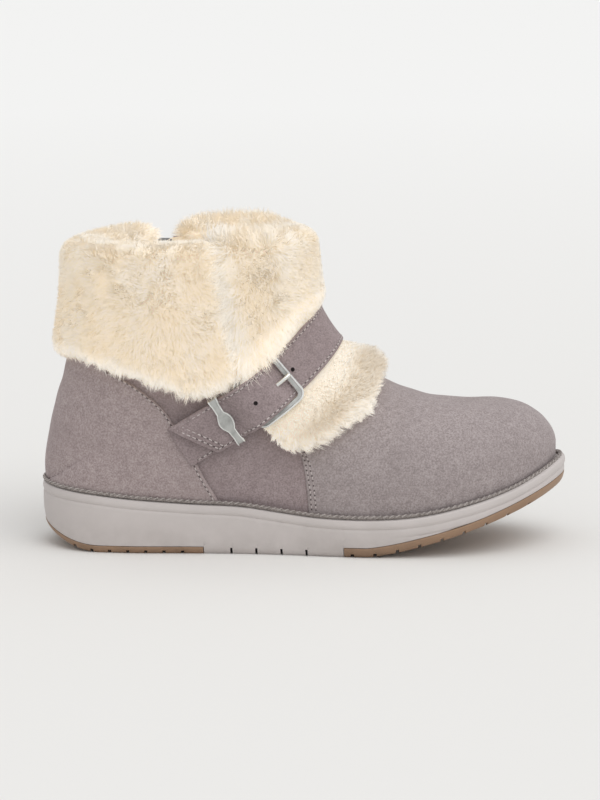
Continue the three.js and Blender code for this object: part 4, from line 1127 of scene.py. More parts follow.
def soleStationsFor(cuts, low=0.0, high=None, count=120):
    # stations along the sole, closer at its round ends, with a pair at each cut
    high = boot["soleLength"] if high is None else high
    ends = (1 - np.cos(np.pi * np.arange(count + 1) / count)) / 2 * boot["soleLength"]
    extra = [x + d for x in cuts for d in (-0.02, 0.02)]
    every = np.unique(np.concatenate([ends, extra]))
    return every[(every >= low) & (every <= high)]


flatOutline = outline(0)


def inwardAt(x, sign):
    # which way is inwards from the outline's side at x
    y = flatOutline["outer" if sign < 0 else "inner"]
    step = 0.4
    a, b = np.clip(x - step, 0, boot["soleLength"]), np.clip(x + step, 0, boot["soleLength"])
    run = np.stack([b - a, y(b) - y(a)], axis=-1)
    turned = unit(run[:, ::-1] * np.array([1, -1]))
    return turned * np.where(turned[:, 1] * sign > 0, -1, 1)[:, None]


def soleSolid(name, stations, levels, lowZ, highZ, insetOf):
    # a closed solid round the outline: levels run from lowZ to highZ, and insetOf(x, z, level) draws
    # each one in
    sides = []
    for sign in (-1, 1):
        y = flatOutline["outer" if sign < 0 else "inner"](stations)
        inward = inwardAt(stations, sign)
        z = mix(lowZ(stations)[None, :], highZ(stations)[None, :], levels[:, None])
        inset = insetOf(stations[None, :] * np.ones_like(z), z, levels[:, None] * np.ones_like(z))
        x = stations[None, :] + inward[None, :, 0] * inset
        sides.append(np.stack([x, y[None, :] + inward[None, :, 1] * inset, z], axis=-1))
    rows, columns = len(levels), len(stations)
    outer, inner = sides
    points = np.concatenate([outer.reshape(-1, 3), inner.reshape(-1, 3)])
    shiftBy = rows * columns
    faces = [gridFaces(rows, columns), gridFaces(rows, columns, start=shiftBy, flip=True)]
    k = np.arange(columns - 1)
    for row, turned in ((0, True), (rows - 1, False)):
        a = row * columns + k
        cap = np.stack([a, a + 1, a + 1 + shiftBy, a + shiftBy], axis=-1)
        faces.append(cap[:, ::-1] if turned else cap)
    j = np.arange(rows - 1)
    for at, turned in ((0, False), (columns - 1, True)):
        a = j * columns + at
        wallFace = np.stack([a, a + shiftBy, a + shiftBy + columns, a + columns], axis=-1)
        faces.append(wallFace[:, ::-1] if turned else wallFace)
    thing = meshFrom(name, points, faces)
    weld(thing, distance=0.000005)
    keepEdges(thing, 38)
    return thing


def keepEdges(thing, degrees):
    # shades smoothly except across edges that turn sharply
    thing.data.set_sharp_from_angle(angle=math.radians(degrees))


def padHeight(x):
    waist = (boot["heelPadEnd"] + boot["toePadStart"]) / 2
    thickness = np.where(x < waist, boot["heelPad"], boot["forefootPad"])
    return thickness * (1 + 0.2 * smooth(210, 255, x))


tread = {
    "forefoot": {"first": 156.0, "pitch": 11.2, "count": 9, "width": 1.6, "depth": 1.7},
    "heel": {"first": 16.5, "pitch": 9.2, "count": 7, "width": 1.6, "depth": 1.5},
    "waist": {"first": 96.0, "pitch": 12.4, "count": 4, "width": 1.1, "depth": 3.4},
}


def cutsOf(g):
    middles = g["first"] + g["pitch"] * np.arange(g["count"])
    return np.sort(np.concatenate([middles - g["width"] / 2, middles + g["width"] / 2]))


def cutDepth(x, g):
    middles = g["first"] + g["pitch"] * np.arange(g["count"])
    return g["depth"] * (np.abs(x[..., None] - middles) < g["width"] / 2).any(axis=-1)


profile = through(
    table(
        "share inset",
        (0.0, 3.2),
        (0.05, 2.1),
        (0.12, 1.2),
        (0.3, 0.45),
        (0.5, 0.0),
        (0.8, 0.0),
        (0.93, 0.25),
        (1.0, 0.8),
    ),
    "share",
    "inset",
)
groove = {"below": 4.6, "width": 0.9, "depth": 0.35}  # a line moulded round the foam under its top edge
toeLine = {"below": 9.0, "width": 0.4, "depth": 0.5, "start": 168.0}  # a second line round the toe


def soleInset(x, z, level):
    bottom, top = soleBottom(x), soleTop(x)
    inset = profile(np.clip((z - bottom) / (top - bottom), 0, 1))
    under = top - z
    inset = inset + groove["depth"] * np.exp(-(((under - groove["below"]) / groove["width"]) ** 2))
    inset = inset + 0.35 * smooth(groove["below"] - 0.3, groove["below"] + 0.3, under)
    second = toeLine["depth"] * np.exp(-(((under - toeLine["below"]) / toeLine["width"]) ** 2))
    inset = inset + second * smooth(toeLine["start"], toeLine["start"] + 25, x)
    return inset + 0.9 * smooth(0.5, 0.0, under)


def makeMidsole():
    ends = [boot["heelPadEnd"] + touch, boot["toePadStart"] - touch]
    stations = soleStationsFor(list(cutsOf(tread["waist"])) + ends)

    def low(x):
        padded = (x < ends[0]) | (x > ends[1])
        return soleBottom(x) + np.where(padded, padHeight(x) + touch, cutDepth(x, tread["waist"]))

    # levels close together in the upper part, round the grooves
    levels = np.unique(np.concatenate([np.linspace(0, 0.6, 16), np.linspace(0.6, 1, 46)]))
    thing = soleSolid("foamMidsole", stations, levels, low, soleTop, soleInset)
    return give(thing, "foam", ["midsole"])


def makePad(name, node, low, high, grooves):
    stations = soleStationsFor(cutsOf(grooves), low, high)
    stations = np.unique(np.concatenate([[low], stations, [high]]))
    levels = np.array([0, 0.08, 0.2, 0.4, 0.6, 0.8, 0.93, 1.0])

    def bottom(x):
        return soleBottom(x) + cutDepth(x, grooves)

    def inset(x, z, level):
        share = np.clip((z - soleBottom(x)) / (soleTop(x) - soleBottom(x)), 0, 1)
        return profile(share) + 0.1 + 0.35 * smooth(0.15, 0, level) + 0.25 * smooth(0.9, 1.0, level)

    thing = soleSolid(name, stations, levels, bottom, lambda x: soleBottom(x) + padHeight(x), inset)
    return give(thing, "gum", [node])


makeMidsole()
makePad("gumHeel", "outsole_heel", 0.0, boot["heelPadEnd"], tread["heel"])
makePad("gumForefoot", "outsole_forefoot", boot["toePadStart"], boot["soleLength"], tread["forefoot"])


def loopPath(inset, height, spacing):
    # evenly spaced places round the outline, with the way out from each
    p = outlinePoints
    run = unit(np.roll(p, -2, axis=0) - np.roll(p, 2, axis=0))
    moved = p + inset(p[:, 0])[:, None] * np.stack([-run[:, 1], run[:, 0]], axis=1)
    closed = np.vstack([moved, moved[:1]])
    far = np.concatenate([[0], np.cumsum(np.linalg.norm(np.diff(closed, axis=0), axis=1))])
    count = int(far[-1] / spacing)
    s = np.linspace(0, far[-1], count, endpoint=False)
    x, y = np.interp(s, far, closed[:, 0]), np.interp(s, far, closed[:, 1])
    out = np.stack([np.interp(s, far, np.append(c, c[0])) for c in (run[:, 1], -run[:, 0])], axis=1)
    points = np.stack([x, y, height(x)], axis=1)
    return points, np.column_stack([unit(out), np.zeros(count)]), s


welt = {"clear": 1.3, "width": 2.1, "height": 1.7, "pitch": 2.6, "sides": 9}


def makeWelt():
    # a stitched rope of cord in the corner between upper and sole
    points, out, s = loopPath(
        lambda x: featherInset(x) - welt["clear"] - welt["width"] / 2 + 0.25,
        lambda x: soleTop(x) + touch + welt["height"] / 2,
        0.5,
    )
    turn = np.linspace(0, 2 * np.pi, welt["sides"], endpoint=False)[None, :]
    twist = s[:, None] * 2 * np.pi / welt["pitch"]
    radius = 0.84 + 0.1 * np.cos(2 * turn + twist)
    across = np.cos(turn) * radius * 1.1
    up = np.sin(turn) * radius
    ring = points[:, None, :] + out[:, None, :] * across[..., None] + np.array([0, 0, 1.0]) * up[..., None]
    rows, columns = ring.shape[:2]
    i, j = np.arange(rows)[:, None], np.arange(columns)[None, :]
    a, b = i * columns + j, i * columns + (j + 1) % columns
    c, d = ((i + 1) % rows) * columns + (j + 1) % columns, ((i + 1) % rows) * columns + j
    thing = meshFrom("weltCord", ring, [np.stack([a, b, c, d], axis=-1).reshape(-1, 4)])
    return give(thing, "cord", ["welt"])


insole = {"thickness": 9, "dish": 2.2, "clear": 1.8}


def makeInsole():
    # a fleece footbed, crowned and dished to the foot
    stations = soleStationsFor([], 0, boot["soleLength"], 60)
    levels = np.array([0, 0.35, 0.7, 0.86, 0.95, 1.0])
    inset = insole["clear"] + boot["wall"]

    def low(x):
        return soleTop(x) + touch

    def high(x):
        return low(x) + insole["thickness"]

    def insetOf(x, z, level):
        return featherInset(x) + inset + insole["dish"] * smooth(0.7, 1.0, level)

    thing = soleSolid("fleeceInsole", stations, levels, low, high, insetOf)
    return give(thing, "woolLining", ["insole"])


makeWelt()
makeInsole()
print("sole ready")

# ---- strap, buckle and keeper


def sweptSection(name, way, rows, section):
    # a band along the route: rows of s, height and slant, each with the same closed section of (w, h)
    s = rows["s"][:, None] + rows["slant"][:, None] * section[None, :, 0] / (boot["strapWidth"] / 2)
    w = section[None, :, 0] * rows["half"][:, None]
    h = rows["low"][:, None] + section[None, :, 1]
    points = way["at"](s, w, h)
    count, size = points.shape[:2]
    first, last = endCaps(count, size)
    faces = [gridFaces(count, size, wrap=True, flip=True), first, last[:, ::-1]]
    thing = meshFrom(name, points, faces)
    weld(thing, distance=0.00001)
    return thing


def roundedStrip(half, thickness, edge=0.55, across=12):
    # a flat section with rounded cut edges: its bottom, an edge, its top and the other edge
    w = np.linspace(-half + edge, half - edge, across)
    turn = np.linspace(0, np.pi, 6)[1:-1]
    crown = strap["crown"] * (1 - (w / half) ** 2)
    bottom = np.column_stack([w[::-1], np.zeros(across)])
    rising = np.column_stack([-half + edge - edge * np.sin(turn), thickness / 2 * (1 - np.cos(turn))])
    top = np.column_stack([w, thickness + crown])
    falling = np.column_stack([half - edge + edge * np.sin(turn), thickness / 2 * (1 + np.cos(turn))])
    return np.concatenate([bottom, rising, top, falling])


strap = {
    "from": 8.2,
    "slant": -7.8,
    "thickness": boot["strapThickness"],
    "crown": 0.12,
    "step": 0.9,
    "spare": 2.0,
    "holes": (43.5, 67.5),
}


def strapRipple(s):
    return 0.10 * np.sin(s / 7.0) * smooth(20, 40, s)


def makeStrap():
    end = strapRoute["length"] - strap["spare"]
    s = np.concatenate([[strap["from"]] * 2, np.arange(strap["from"] + 0.3, end, strap["step"]), [end]])
    slant = strap["slant"] * smooth(26, 5, s)
    rows = {"s": s, "low": strapLow(s) + strapRipple(s), "slant": slant, "half": np.ones(s.size)}
    section = roundedStrip(boot["strapWidth"] / 2, strap["thickness"])
    thing = sweptSection("instepStrap", strapRoute, rows, section)
    return give(thing, "strapSuede", ["strap"])


def strapTop(s, w=0.0):
    crown = strap["crown"] * (1 - (w / (boot["strapWidth"] / 2)) ** 2)
    return strapLow(s) + strapRipple(s) + strap["thickness"] + crown


def makeAnchor():
    # the short strap sewn in at the counter, which holds the buckle's left bar
    wrap, outer = anchorWrap, anchorWrap + anchorThickness
    s = np.arange(anchor["start"], buckle["hinge"] - 2, 0.8)
    low = np.column_stack([s, anchorLow(s)])
    lapEnd = buckle["hinge"] - anchor["lap"]

    def turned(radius, start, stop):
        a = np.linspace(start, stop, 14)
        return np.column_stack([buckle["hinge"] + radius * np.cos(a), buckle["height"] + radius * np.sin(a)])

    side = np.concatenate(
        [
            low,
            turned(outer, -np.pi / 2, np.pi * 0.55),
            [[lapEnd, buckle["height"] + outer - anchor["lapDrop"]]],
            [[lapEnd, buckle["height"] + wrap - anchor["lapDrop"]]],
            turned(wrap, np.pi * 0.55, -np.pi / 2),
            (low + [0, anchorThickness])[::-1],
        ]
    )
    half = anchor["half"]
    w = np.array([-half, 0.1 - half, 0.6 - half, -7, -3.5, 0, 3.5, 7, half - 0.6, half - 0.1, half])
    points = strapRoute["at"](side[None, :, 0], w[:, None], side[None, :, 1])
    rows, columns = points.shape[:2]
    first, last = endCaps(rows, columns)
    faces = [gridFaces(rows, columns, wrap=True), first[:, ::-1], last]
    thing = meshFrom("strapAnchor", points, faces)
    weld(thing, distance=0.00001)
    keepEdges(thing, 50)
    return give(thing, "strapSuede", ["strap_anchor"])


def roundedCorners(half, corner, per):
    # the quarter turns of a rounded rectangle from its right side round, as rows of x, y and angle
    turns = []
    for q in range(4):
        x = (1 if q in (0, 3) else -1) * (half[0] - corner)
        y = (1 if q < 2 else -1) * (half[1] - corner)
        a = np.pi / 2 * (q + np.arange(per + 1) / per)
        turns.append(np.column_stack([x + corner * np.cos(a), y + corner * np.sin(a), a]))
    return turns


def framePath(corner, half, perCorner=8, perSide=10):
    turns = roundedCorners(half, corner, perCorner)
    path = []
    for turn, following in zip(turns, turns[1:] + turns[:1]):
        start, stop = turn[-1], following[0]
        share = np.arange(1, perSide)[:, None] / perSide
        side = np.column_stack([mix(start[:2], stop[:2], share), np.full(perSide - 1, start[2])])
        path += [turn, side]
    return np.concatenate(path)


def makeBuckleFrame():
    half = (buckle["length"] / 2, buckle["width"] / 2 - buckle["bar"])
    path = framePath(buckle["corner"], half)
    # a cast bar: a bright rim along its outer edge and a flat face that slopes inwards, which is painted
    # shade in a darker copy of the nickel
    shape = [(1.35, -0.9), (1.5, -0.6), (1.5, 0.75), (1.3, 1.0), (0.55, 1.0), (0.35, 0.72)]
    shape += [(-1.25, 0.5), (-1.5, 0.2), (-1.5, -0.9)]
    out, up = (np.array(c) for c in zip(*shape))
    s = buckle["hinge"] + half[0] + path[:, None, 0] + out[None, :] * np.cos(path[:, None, 2])
    w = path[:, None, 1] + out[None, :] * np.sin(path[:, None, 2])
    points = strapRoute["at"](s, w, buckle["height"] + up[None, :] + 0 * w)
    rows, columns = points.shape[:2]
    i, j = np.arange(rows)[:, None], np.arange(columns)[None, :]
    after = (i + 1) % rows
    quads = np.stack([i * columns + j, i * columns + (j + 1) % columns], axis=-1)
    far = np.stack([after * columns + (j + 1) % columns, after * columns + j], axis=-1)
    thing = meshFrom("buckleFrame", points, [np.concatenate([quads, far], axis=-1).reshape(-1, 4)])
    weld(thing, distance=0.000005)
    keepEdges(thing, 24)
    give(thing, "nickel", ["buckle_frame"])
    slope = (shape.index((0.35, 0.72)), shape.index((-1.25, 0.5)))
    faceSecond(thing, "nickelShadedFace", lambda f: {v % len(shape) for v in f.vertices} == set(slope))
    return thing


def rodAlong(way, path, radius, sides=10, flat=1.0):
    # a round rod through (s, w, height) places, with a domed end
    path = np.array(path, float)
    index = np.arange(len(path))
    fine = np.linspace(0, len(path) - 1, 60)
    rows = [{"i": i, "s": p[0], "w": p[1], "h": p[2]} for i, p in zip(index, path)]
    s, w, h = (through(rows, "i", k)(fine) for k in ("s", "w", "h"))
    rise, run = np.gradient(h), np.gradient(s)
    lean = np.arctan2(rise, run)
    tip = ((fine - fine[-1] + 0.35) / 0.35).clip(0, 1)
    size = radius * np.minimum(1, np.sqrt(np.maximum(1 - tip**2, 0.02)))
    turn = np.linspace(0, 2 * np.pi, sides, endpoint=False)
    across = w[:, None] + size[:, None] * np.cos(turn)[None, :]
    up = size[:, None] * np.sin(turn)[None, :] * flat
    along = s[:, None] - up * np.sin(lean)[:, None]
    return way["at"](along, across, h[:, None] + up * np.cos(lean)[:, None])


def makeProng():
    over = buckle["height"] + buckle["bar"] * 0.85
    rod = rodAlong(
        strapRoute,
        [
            (buckle["hinge"] + 2.2, 0, buckle["height"]),
            (buckle["hinge"] + 8, 0, buckle["height"] + 0.5),
            (buckle["hinge"] + 13, 0, buckle["height"] + 0.8),
            (rightBar - 6, 0, over + 0.7),
            (rightBar - 2, 0, over + 1.1),
            (rightBar + 0.9, 0, over + 1.05),
        ],
        1.0,
        flat=0.8,
    )
    inner, outer, half = buckle["bar"] + 0.35, buckle["bar"] + 1.25, 1.3
    turn = np.linspace(0, 2 * np.pi, 32, endpoint=False)[:, None]
    loop = np.array([(inner, -half), (inner, half), (outer, half), (outer, -half)])
    s = buckle["hinge"] + loop[None, :, 0] * np.cos(turn)
    h = buckle["height"] + loop[None, :, 0] * np.sin(turn)
    eye = strapRoute["at"](s, loop[None, :, 1] + 0 * s, h)
    count = rod.shape[0] * rod.shape[1]
    i, j = np.arange(32)[:, None], np.arange(4)[None, :]
    near, after = i * 4, (i + 1) % 32 * 4
    beside = (j + 1) % 4
    ring = np.stack([near + j, near + beside, after + beside, after + j], axis=-1).reshape(-1, 4) + count
    points = np.concatenate([rod.reshape(-1, 3), eye.reshape(-1, 3)])
    sides = rod.shape[1]
    caps = [np.arange(sides)[None, ::-1], np.arange(count - sides, count)[None, :]]
    tube = gridFaces(rod.shape[0], sides, wrap=True, flip=True)
    thing = meshFrom("buckleProng", points, [tube, *caps, ring])
    weld(thing, distance=0.000005)
    keepEdges(thing, 40)
    return give(thing, "nickel", ["buckle_prong"])


keeper = {
    "s": 27.4,
    "bar": 2.0,
    "bulge": 3.7,
    "bulgeHalf": 5.2,
    "ear": 2.35,
    "rise": 1.3,
    "sunk": 0.5,
    "drop": 3.2,
}


def keeperHalf(away, reach):
    # half its width along the strap: a bar, an oval in the middle and flared ends
    oval = keeper["bulge"] * np.sqrt(np.maximum(1 - (away / keeper["bulgeHalf"]) ** 2, 0))
    joinedUp = (oval**5 + keeper["bar"] ** 5) ** 0.2
    return mix(joinedUp, keeper["ear"], smooth(reach - 3.4, reach - 0.4, away))


def makeKeeper():
    # a cast plate over the strap with a raised rim and a sunk face, turned down round both edges
    reach = boot["strapWidth"] / 2 + 0.75
    flat = np.linspace(-reach, reach, 121)
    turn = np.linspace(0, np.pi / 2, 6)[1:]
    half = keeperHalf(np.abs(flat), reach)
    top = strapTop(keeper["s"]) + 0.3
    edge = keeper["rise"]
    # inwards from each side, in millimetres, and up from the strap
    shape = [(0, 0.0), (0, edge - 0.22), (0.18, edge), (0.68, edge), (0.86, edge - keeper["sunk"])]
    inset, up = (np.array(c) for c in zip(*shape, *shape[::-1]))
    sign = np.repeat([-1, 1], len(shape))
    rows = [(w, h, 0.0, 0.0) for w, h in zip(flat, half)]
    legs = [(reach, half[-1], a, 0.0) for a in turn]
    legs += [(reach, half[-1] * k, np.pi / 2, d) for k, d in ((1, 1.4), (0.92, keeper["drop"]))]
    rows += legs
    rows = [(-w, h, a, d) for w, h, a, d in reversed(legs)] + rows
    w, h, a, d = (np.array(c)[:, None] for c in zip(*rows))
    across = w + np.sign(w) * up[None, :] * np.sin(a)
    high = top + up[None, :] * np.cos(a) - d + 0.12 * (1 - (w / reach) ** 2)
    along = keeper["s"] + sign[None, :] * (h - inset[None, :])
    points = strapRoute["at"](along, across, high)
    thing = meshFrom("keeperBar", points, [gridFaces(*points.shape[:2], wrap=True, flip=True)])
    caps = bmesh.new()
    caps.from_mesh(thing.data)
    bmesh.ops.holes_fill(caps, edges=caps.edges)
    bmesh.ops.recalc_face_normals(caps, faces=caps.faces)
    caps.to_mesh(thing.data)
    caps.free()
    keepEdges(thing, 26)
    give(thing, "nickel", ["keeper"])
    sunk = len(shape) - 1
    floor = [sunk, sunk, sunk + 1, sunk + 1]
    # the sunk face takes the darker copy of the nickel, painted shade in the recess; its rougher polish is
    # its own finish
    faceSecond(thing, "nickelShadedFace", lambda f: sorted(v % (2 * len(shape)) for v in f.vertices) == floor)
    return thing


makeStrap()
makeAnchor()
makeBuckleFrame()
makeProng()
makeKeeper()
print("strap and buckle ready")

# ---- zip on the inner side

zipRoute = route(sideRows([(89, 42, 1), (82, 60, 1), (74, 78, 1), (67, 98, 1), (62.5, 118, 1), (61, 142, 1)]))
zipper = {
    "pitch": 1.9,
    "tooth": (1.25, 2.3, 1.1),
    "apart": 0.75,  # from the chain's middle to each row's middle
    "lift": 0.45,
    "tape": 6.5,
    "tapeThickness": 0.9,
    "tapeEdge": 0.3,
    "tapeLow": -0.55,
    "tapePast": (2.0, 1.5),  # how far it runs past the chain's lower and upper ends
}


def bevelled(corners, cut=0.22):
    # the corners and faces of a block with its upper edges taken off
    x, y, z = corners
    low = [(-x, -y, 0), (x, -y, 0), (x, y, 0), (-x, y, 0)]
    middle = [(a, b, z - cut) for a, b, _ in low]
    top = [(a * (1 - cut / x), b * (1 - cut / y), z) for a, b, _ in low]
    faces = []
    for k in (0, 4):
        faces += [(i + k, (i + 1) % 4 + k, (i + 1) % 4 + k + 4, i + k + 4) for i in range(4)]
    return np.array(low + middle + top), np.array(faces + [(3, 2, 1, 0), (8, 9, 10, 11)])


def scattered(template, faces, count):
    return [np.concatenate([faces + k * len(template) for k in range(count)])]


def makeZipChain():
    block, faces = bevelled((zipper["tooth"][0] / 2, zipper["tooth"][1] / 2, zipper["tooth"][2]))
    middles = np.arange(1.0, zipRoute["length"] - 0.6, zipper["pitch"] / 2)
    side = np.where(np.arange(middles.size) % 2 == 0, 1, -1)
    s = middles[:, None] + block[None, :, 0] * 0.62
    w = side[:, None] * zipper["apart"] + block[None, :, 1]
    points = zipRoute["at"](s, w, zipper["lift"] + block[None, :, 2] + 0 * s)
    thing = meshFrom("zipTeeth", points, scattered(block, faces, middles.size), smoothShade=False)
    return give(thing, "zipMetal", ["zip_chain"])


def makeZipTape():
    before, after = zipper["tapePast"]
    s = np.linspace(-before, zipRoute["length"] + after, 100)
    low = np.full(s.size, zipper["tapeLow"])
    rows = {"s": s, "low": low, "slant": np.zeros(s.size), "half": np.ones(s.size)}
    section = roundedStrip(zipper["tape"], zipper["tapeThickness"], zipper["tapeEdge"], 16)
    return give(sweptSection("zipTape", zipRoute, rows, section), "zipTape")


slider = {
    "y": 41.0,
    "z": 145.5,
    "body": (7.0, 7.0, 7.0),
    "arch": (2.1, 0.7, 5.2),
    "archOff": 3.05,  # from the body's face to the arch's middle
    "foot": (2.1, 3.4, 1.1),
    "footOff": 1.5,
    "footApart": 2.05,
    "round": 1.1,
    "fine": 0.3,
}


def blockMesh(name, centre, size, bevel, body="boot"):
    # a block with rounded edges
    bm = bmesh.new()
    bmesh.ops.create_cube(bm, size=1.0)
    bmesh.ops.scale(bm, vec=Vector(size), verts=bm.verts)
    bmesh.ops.bevel(bm, geom=bm.edges[:], offset=bevel, segments=3, profile=0.6, affect="EDGES")
    bmesh.ops.translate(bm, vec=Vector(centre), verts=bm.verts)
    points = np.array([v.co[:] for v in bm.verts])
    faces = [np.array([[v.index for v in f.verts]]) for f in bm.faces]
    bm.free()
    thing = meshFrom(name, points, faces, body=body)
    keepEdges(thing, 40)
    return thing


def joined(name, things):
    # the things as one mesh
    bm = bmesh.new()
    for thing in things:
        bm.from_mesh(thing.data)
    first = things[0]
    bm.to_mesh(first.data)
    bm.free()
    first.name = name
    for thing in things[1:]:
        bpy.data.objects.remove(thing)
    keepEdges(first, 40)
    return first


def makeSlider():
    x, y, z = zipNotch["x"], slider["y"], slider["z"]
    face = y + slider["body"][1] / 2
    body = blockMesh("sliderBody", (x, y, z), slider["body"], slider["round"])
    arch = blockMesh("sliderArch", (x, face + slider["archOff"], z), slider["arch"], slider["fine"])
    feet = []
    for d in (-slider["footApart"], slider["footApart"]):
        at = (x, face + slider["footOff"], z + d)
        feet.append(blockMesh("sliderFoot", at, slider["foot"], slider["fine"]))
    return give(joined("zipSlider", [body, arch, *feet]), "zipMetal", ["zip_slider"])


def roundedRectangle(width, height, corner):
    return np.concatenate(roundedCorners((width / 2, height / 2), corner, 6))[:, :2]


pull = {
    "length": 20.0,
    "width": 7.0,
    "thickness": 1.4,
    "corner": 1.9,
    "top": 0.7,  # how far it stands above its pin
    "off": 1.1,  # from the slider's face to the tab's middle
    "side": 1.2,  # beside the window
    "window": 6.2,
    "windowCorner": 1.2,
    "windowDown": 4.25,  # from the tab's top to the window's middle
    "pin": 0.68,
}


def makePull():
    # a flat tab with a window over the slider's arch, hanging from a pin
    length, width, thickness, top = (pull[k] for k in ("length", "width", "thickness", "top"))
    x, y, z = zipNotch["x"], slider["y"] + slider["body"][1] / 2 + pull["off"], slider["z"]
    outer = roundedRectangle(width, length, pull["corner"]) + [0, top - length / 2]
    window = roundedRectangle(width - 2 * pull["side"], pull["window"], pull["windowCorner"])
    window = window + [0, top - pull["windowDown"]]
    rings = []
    for loop, bevel in ((outer, -0.3), (window, 0.3)):
        centre = loop.mean(axis=0)
        away = unit(loop - centre)
        for depth, inset in ((-0.5, bevel), (-0.28, 0), (0.28, 0), (0.5, bevel)):
            flat = loop + away * inset
            level = np.full(len(flat), y + depth * thickness)
            rings.append(np.column_stack([x + flat[:, 0], level, z + flat[:, 1]]))
    n = len(outer)
    k = np.arange(n)
    following = (k + 1) % n

    def bridge(a, b):
        return np.stack([a * n + k, a * n + following, b * n + following, b * n + k], axis=-1)

    pairs = ((0, 1), (1, 2), (2, 3), (5, 4), (6, 5), (7, 6), (4, 0), (3, 7))
    faces = [bridge(a, b) for a, b in pairs]
    tab = meshFrom("pullTab", np.concatenate(rings), faces, body="pull")
    weld(tab, distance=0.000002)
    turn = np.linspace(0, 2 * np.pi, 16, endpoint=False)
    ends = np.array([-width / 2 + 0.5, width / 2 - 0.5])
    circle = (y + pull["pin"] * np.cos(turn), z + pull["pin"] * np.sin(turn))
    pinPoints = np.stack([np.column_stack([np.full(16, x + e), *circle]) for e in ends])
    pinFaces = [gridFaces(2, 16, wrap=True), np.arange(16)[None, :], np.arange(31, 15, -1)[None, :]]
    pin = meshFrom("pullPin", pinPoints, pinFaces, body="pull")
    return give(joined("zipPull", [tab, pin]), "zipMetal", ["zip_pull"])


makeZipChain()
makeZipTape()
makeSlider()
makePull()
print("zip ready")

# ---- stitches, needle holes and the strap's holes, whose dark middles are painted shade


def paced(points, out, pitch, begin=0.5):
    # places evenly apart along a line, with the way along it and the way off the surface
    far = np.concatenate([[0], np.cumsum(np.linalg.norm(np.diff(points, axis=0), axis=1))])
    s = np.arange(pitch * begin, far[-1], pitch)
    way = unit(np.gradient(points, axis=0))
    at, along, off = (
        np.stack([np.interp(s, far, values[:, k]) for k in range(3)], axis=1) for values in (points, way, out)
    )
    return at, unit(along), unit(off)


def circlesIn(side, other, turn):
    # a circle of radius one for each place, in the plane of two directions
    return side[:, None, :] * np.cos(turn)[None, :, None] + other[:, None, :] * np.sin(turn)[None, :, None]


def circlesOn(off, turn):
    side = unit(np.cross(off, np.array([0.31, 0.2, 0.93])))
    return circlesIn(side, np.cross(off, side), turn)


def stitchesAt(places, along, off, length, width):
    # short rounded threads whose ends dip into the surface
    rings = ((-0.5, 0.5, -0.45), (-0.36, 0.95, 0.0), (0, 1.0, 0.15), (0.36, 0.95, 0.0), (0.5, 0.5, -0.45))
    turn = np.linspace(0, 2 * np.pi, 6, endpoint=False)
    ring = circlesIn(unit(np.cross(off, along)), off, turn)
    loops = []
    for t, size, lift in rings:
        centre = places + along * (t * length) + off * (lift * width)
        loops.append(centre[:, None, :] + ring * (width / 2 * size))
    points = np.stack(loops, axis=1)
    count = len(places)
    faces = gridFaces(len(rings), len(turn), wrap=True)
    starts = np.arange(count) * len(rings) * len(turn)
    return points.reshape(-1, 3), (faces[None] + starts[:, None, None]).reshape(-1, 4)


def discsAt(places, off, radius, lift=0.06):
    sides = 8
    turn = np.linspace(0, 2 * np.pi, sides + 1)[:-1]
    points = (places + off * lift)[:, None, :] + circlesOn(off, turn) * radius
    return points.reshape(-1, 3), np.arange(len(places) * sides).reshape(-1, sides)


def gathered(parts):
    # several lots of points and faces as one
    starts = np.concatenate([[0], np.cumsum([len(p) for p, _ in parts])[:-1]])
    faces = np.concatenate([f + a for a, (_, f) in zip(starts, parts)])
    return np.concatenate([p for p, _ in parts]), [faces]


def strapLine(s, w, top=strapTop):
    # a line on the strap and the way off it
    s, w = np.broadcast_arrays(np.asarray(s, float), np.asarray(w, float))
    high = strapRoute["at"](s, w, top(s, w))
    low = strapRoute["at"](s, w, top(s, w) - 1)
    return high, unit(high - low)


def skinLine(u, v, height):
    return skin(u, v, np.full(np.shape(u), height)), normal(u, v)


def anchorTop(s, w=0.0):
    return anchorLow(s) + anchorThickness + 0 * w


stitch = {"pitch": 3.0, "length": 2.2, "width": 0.6, "hole": 0.36, "fromEdge": 1.7}
stitch.update({"fromTip": 6, "acrossStart": (2.4, 5.4), "anchorFrom": 4, "anchorTo": 9, "anchorEdge": 1.1})
vampStitch = {"behind": (1.7, 4.0), "pitch": 2.5, "length": 1.5, "width": 0.5, "hole": 1.15, "top": 78}


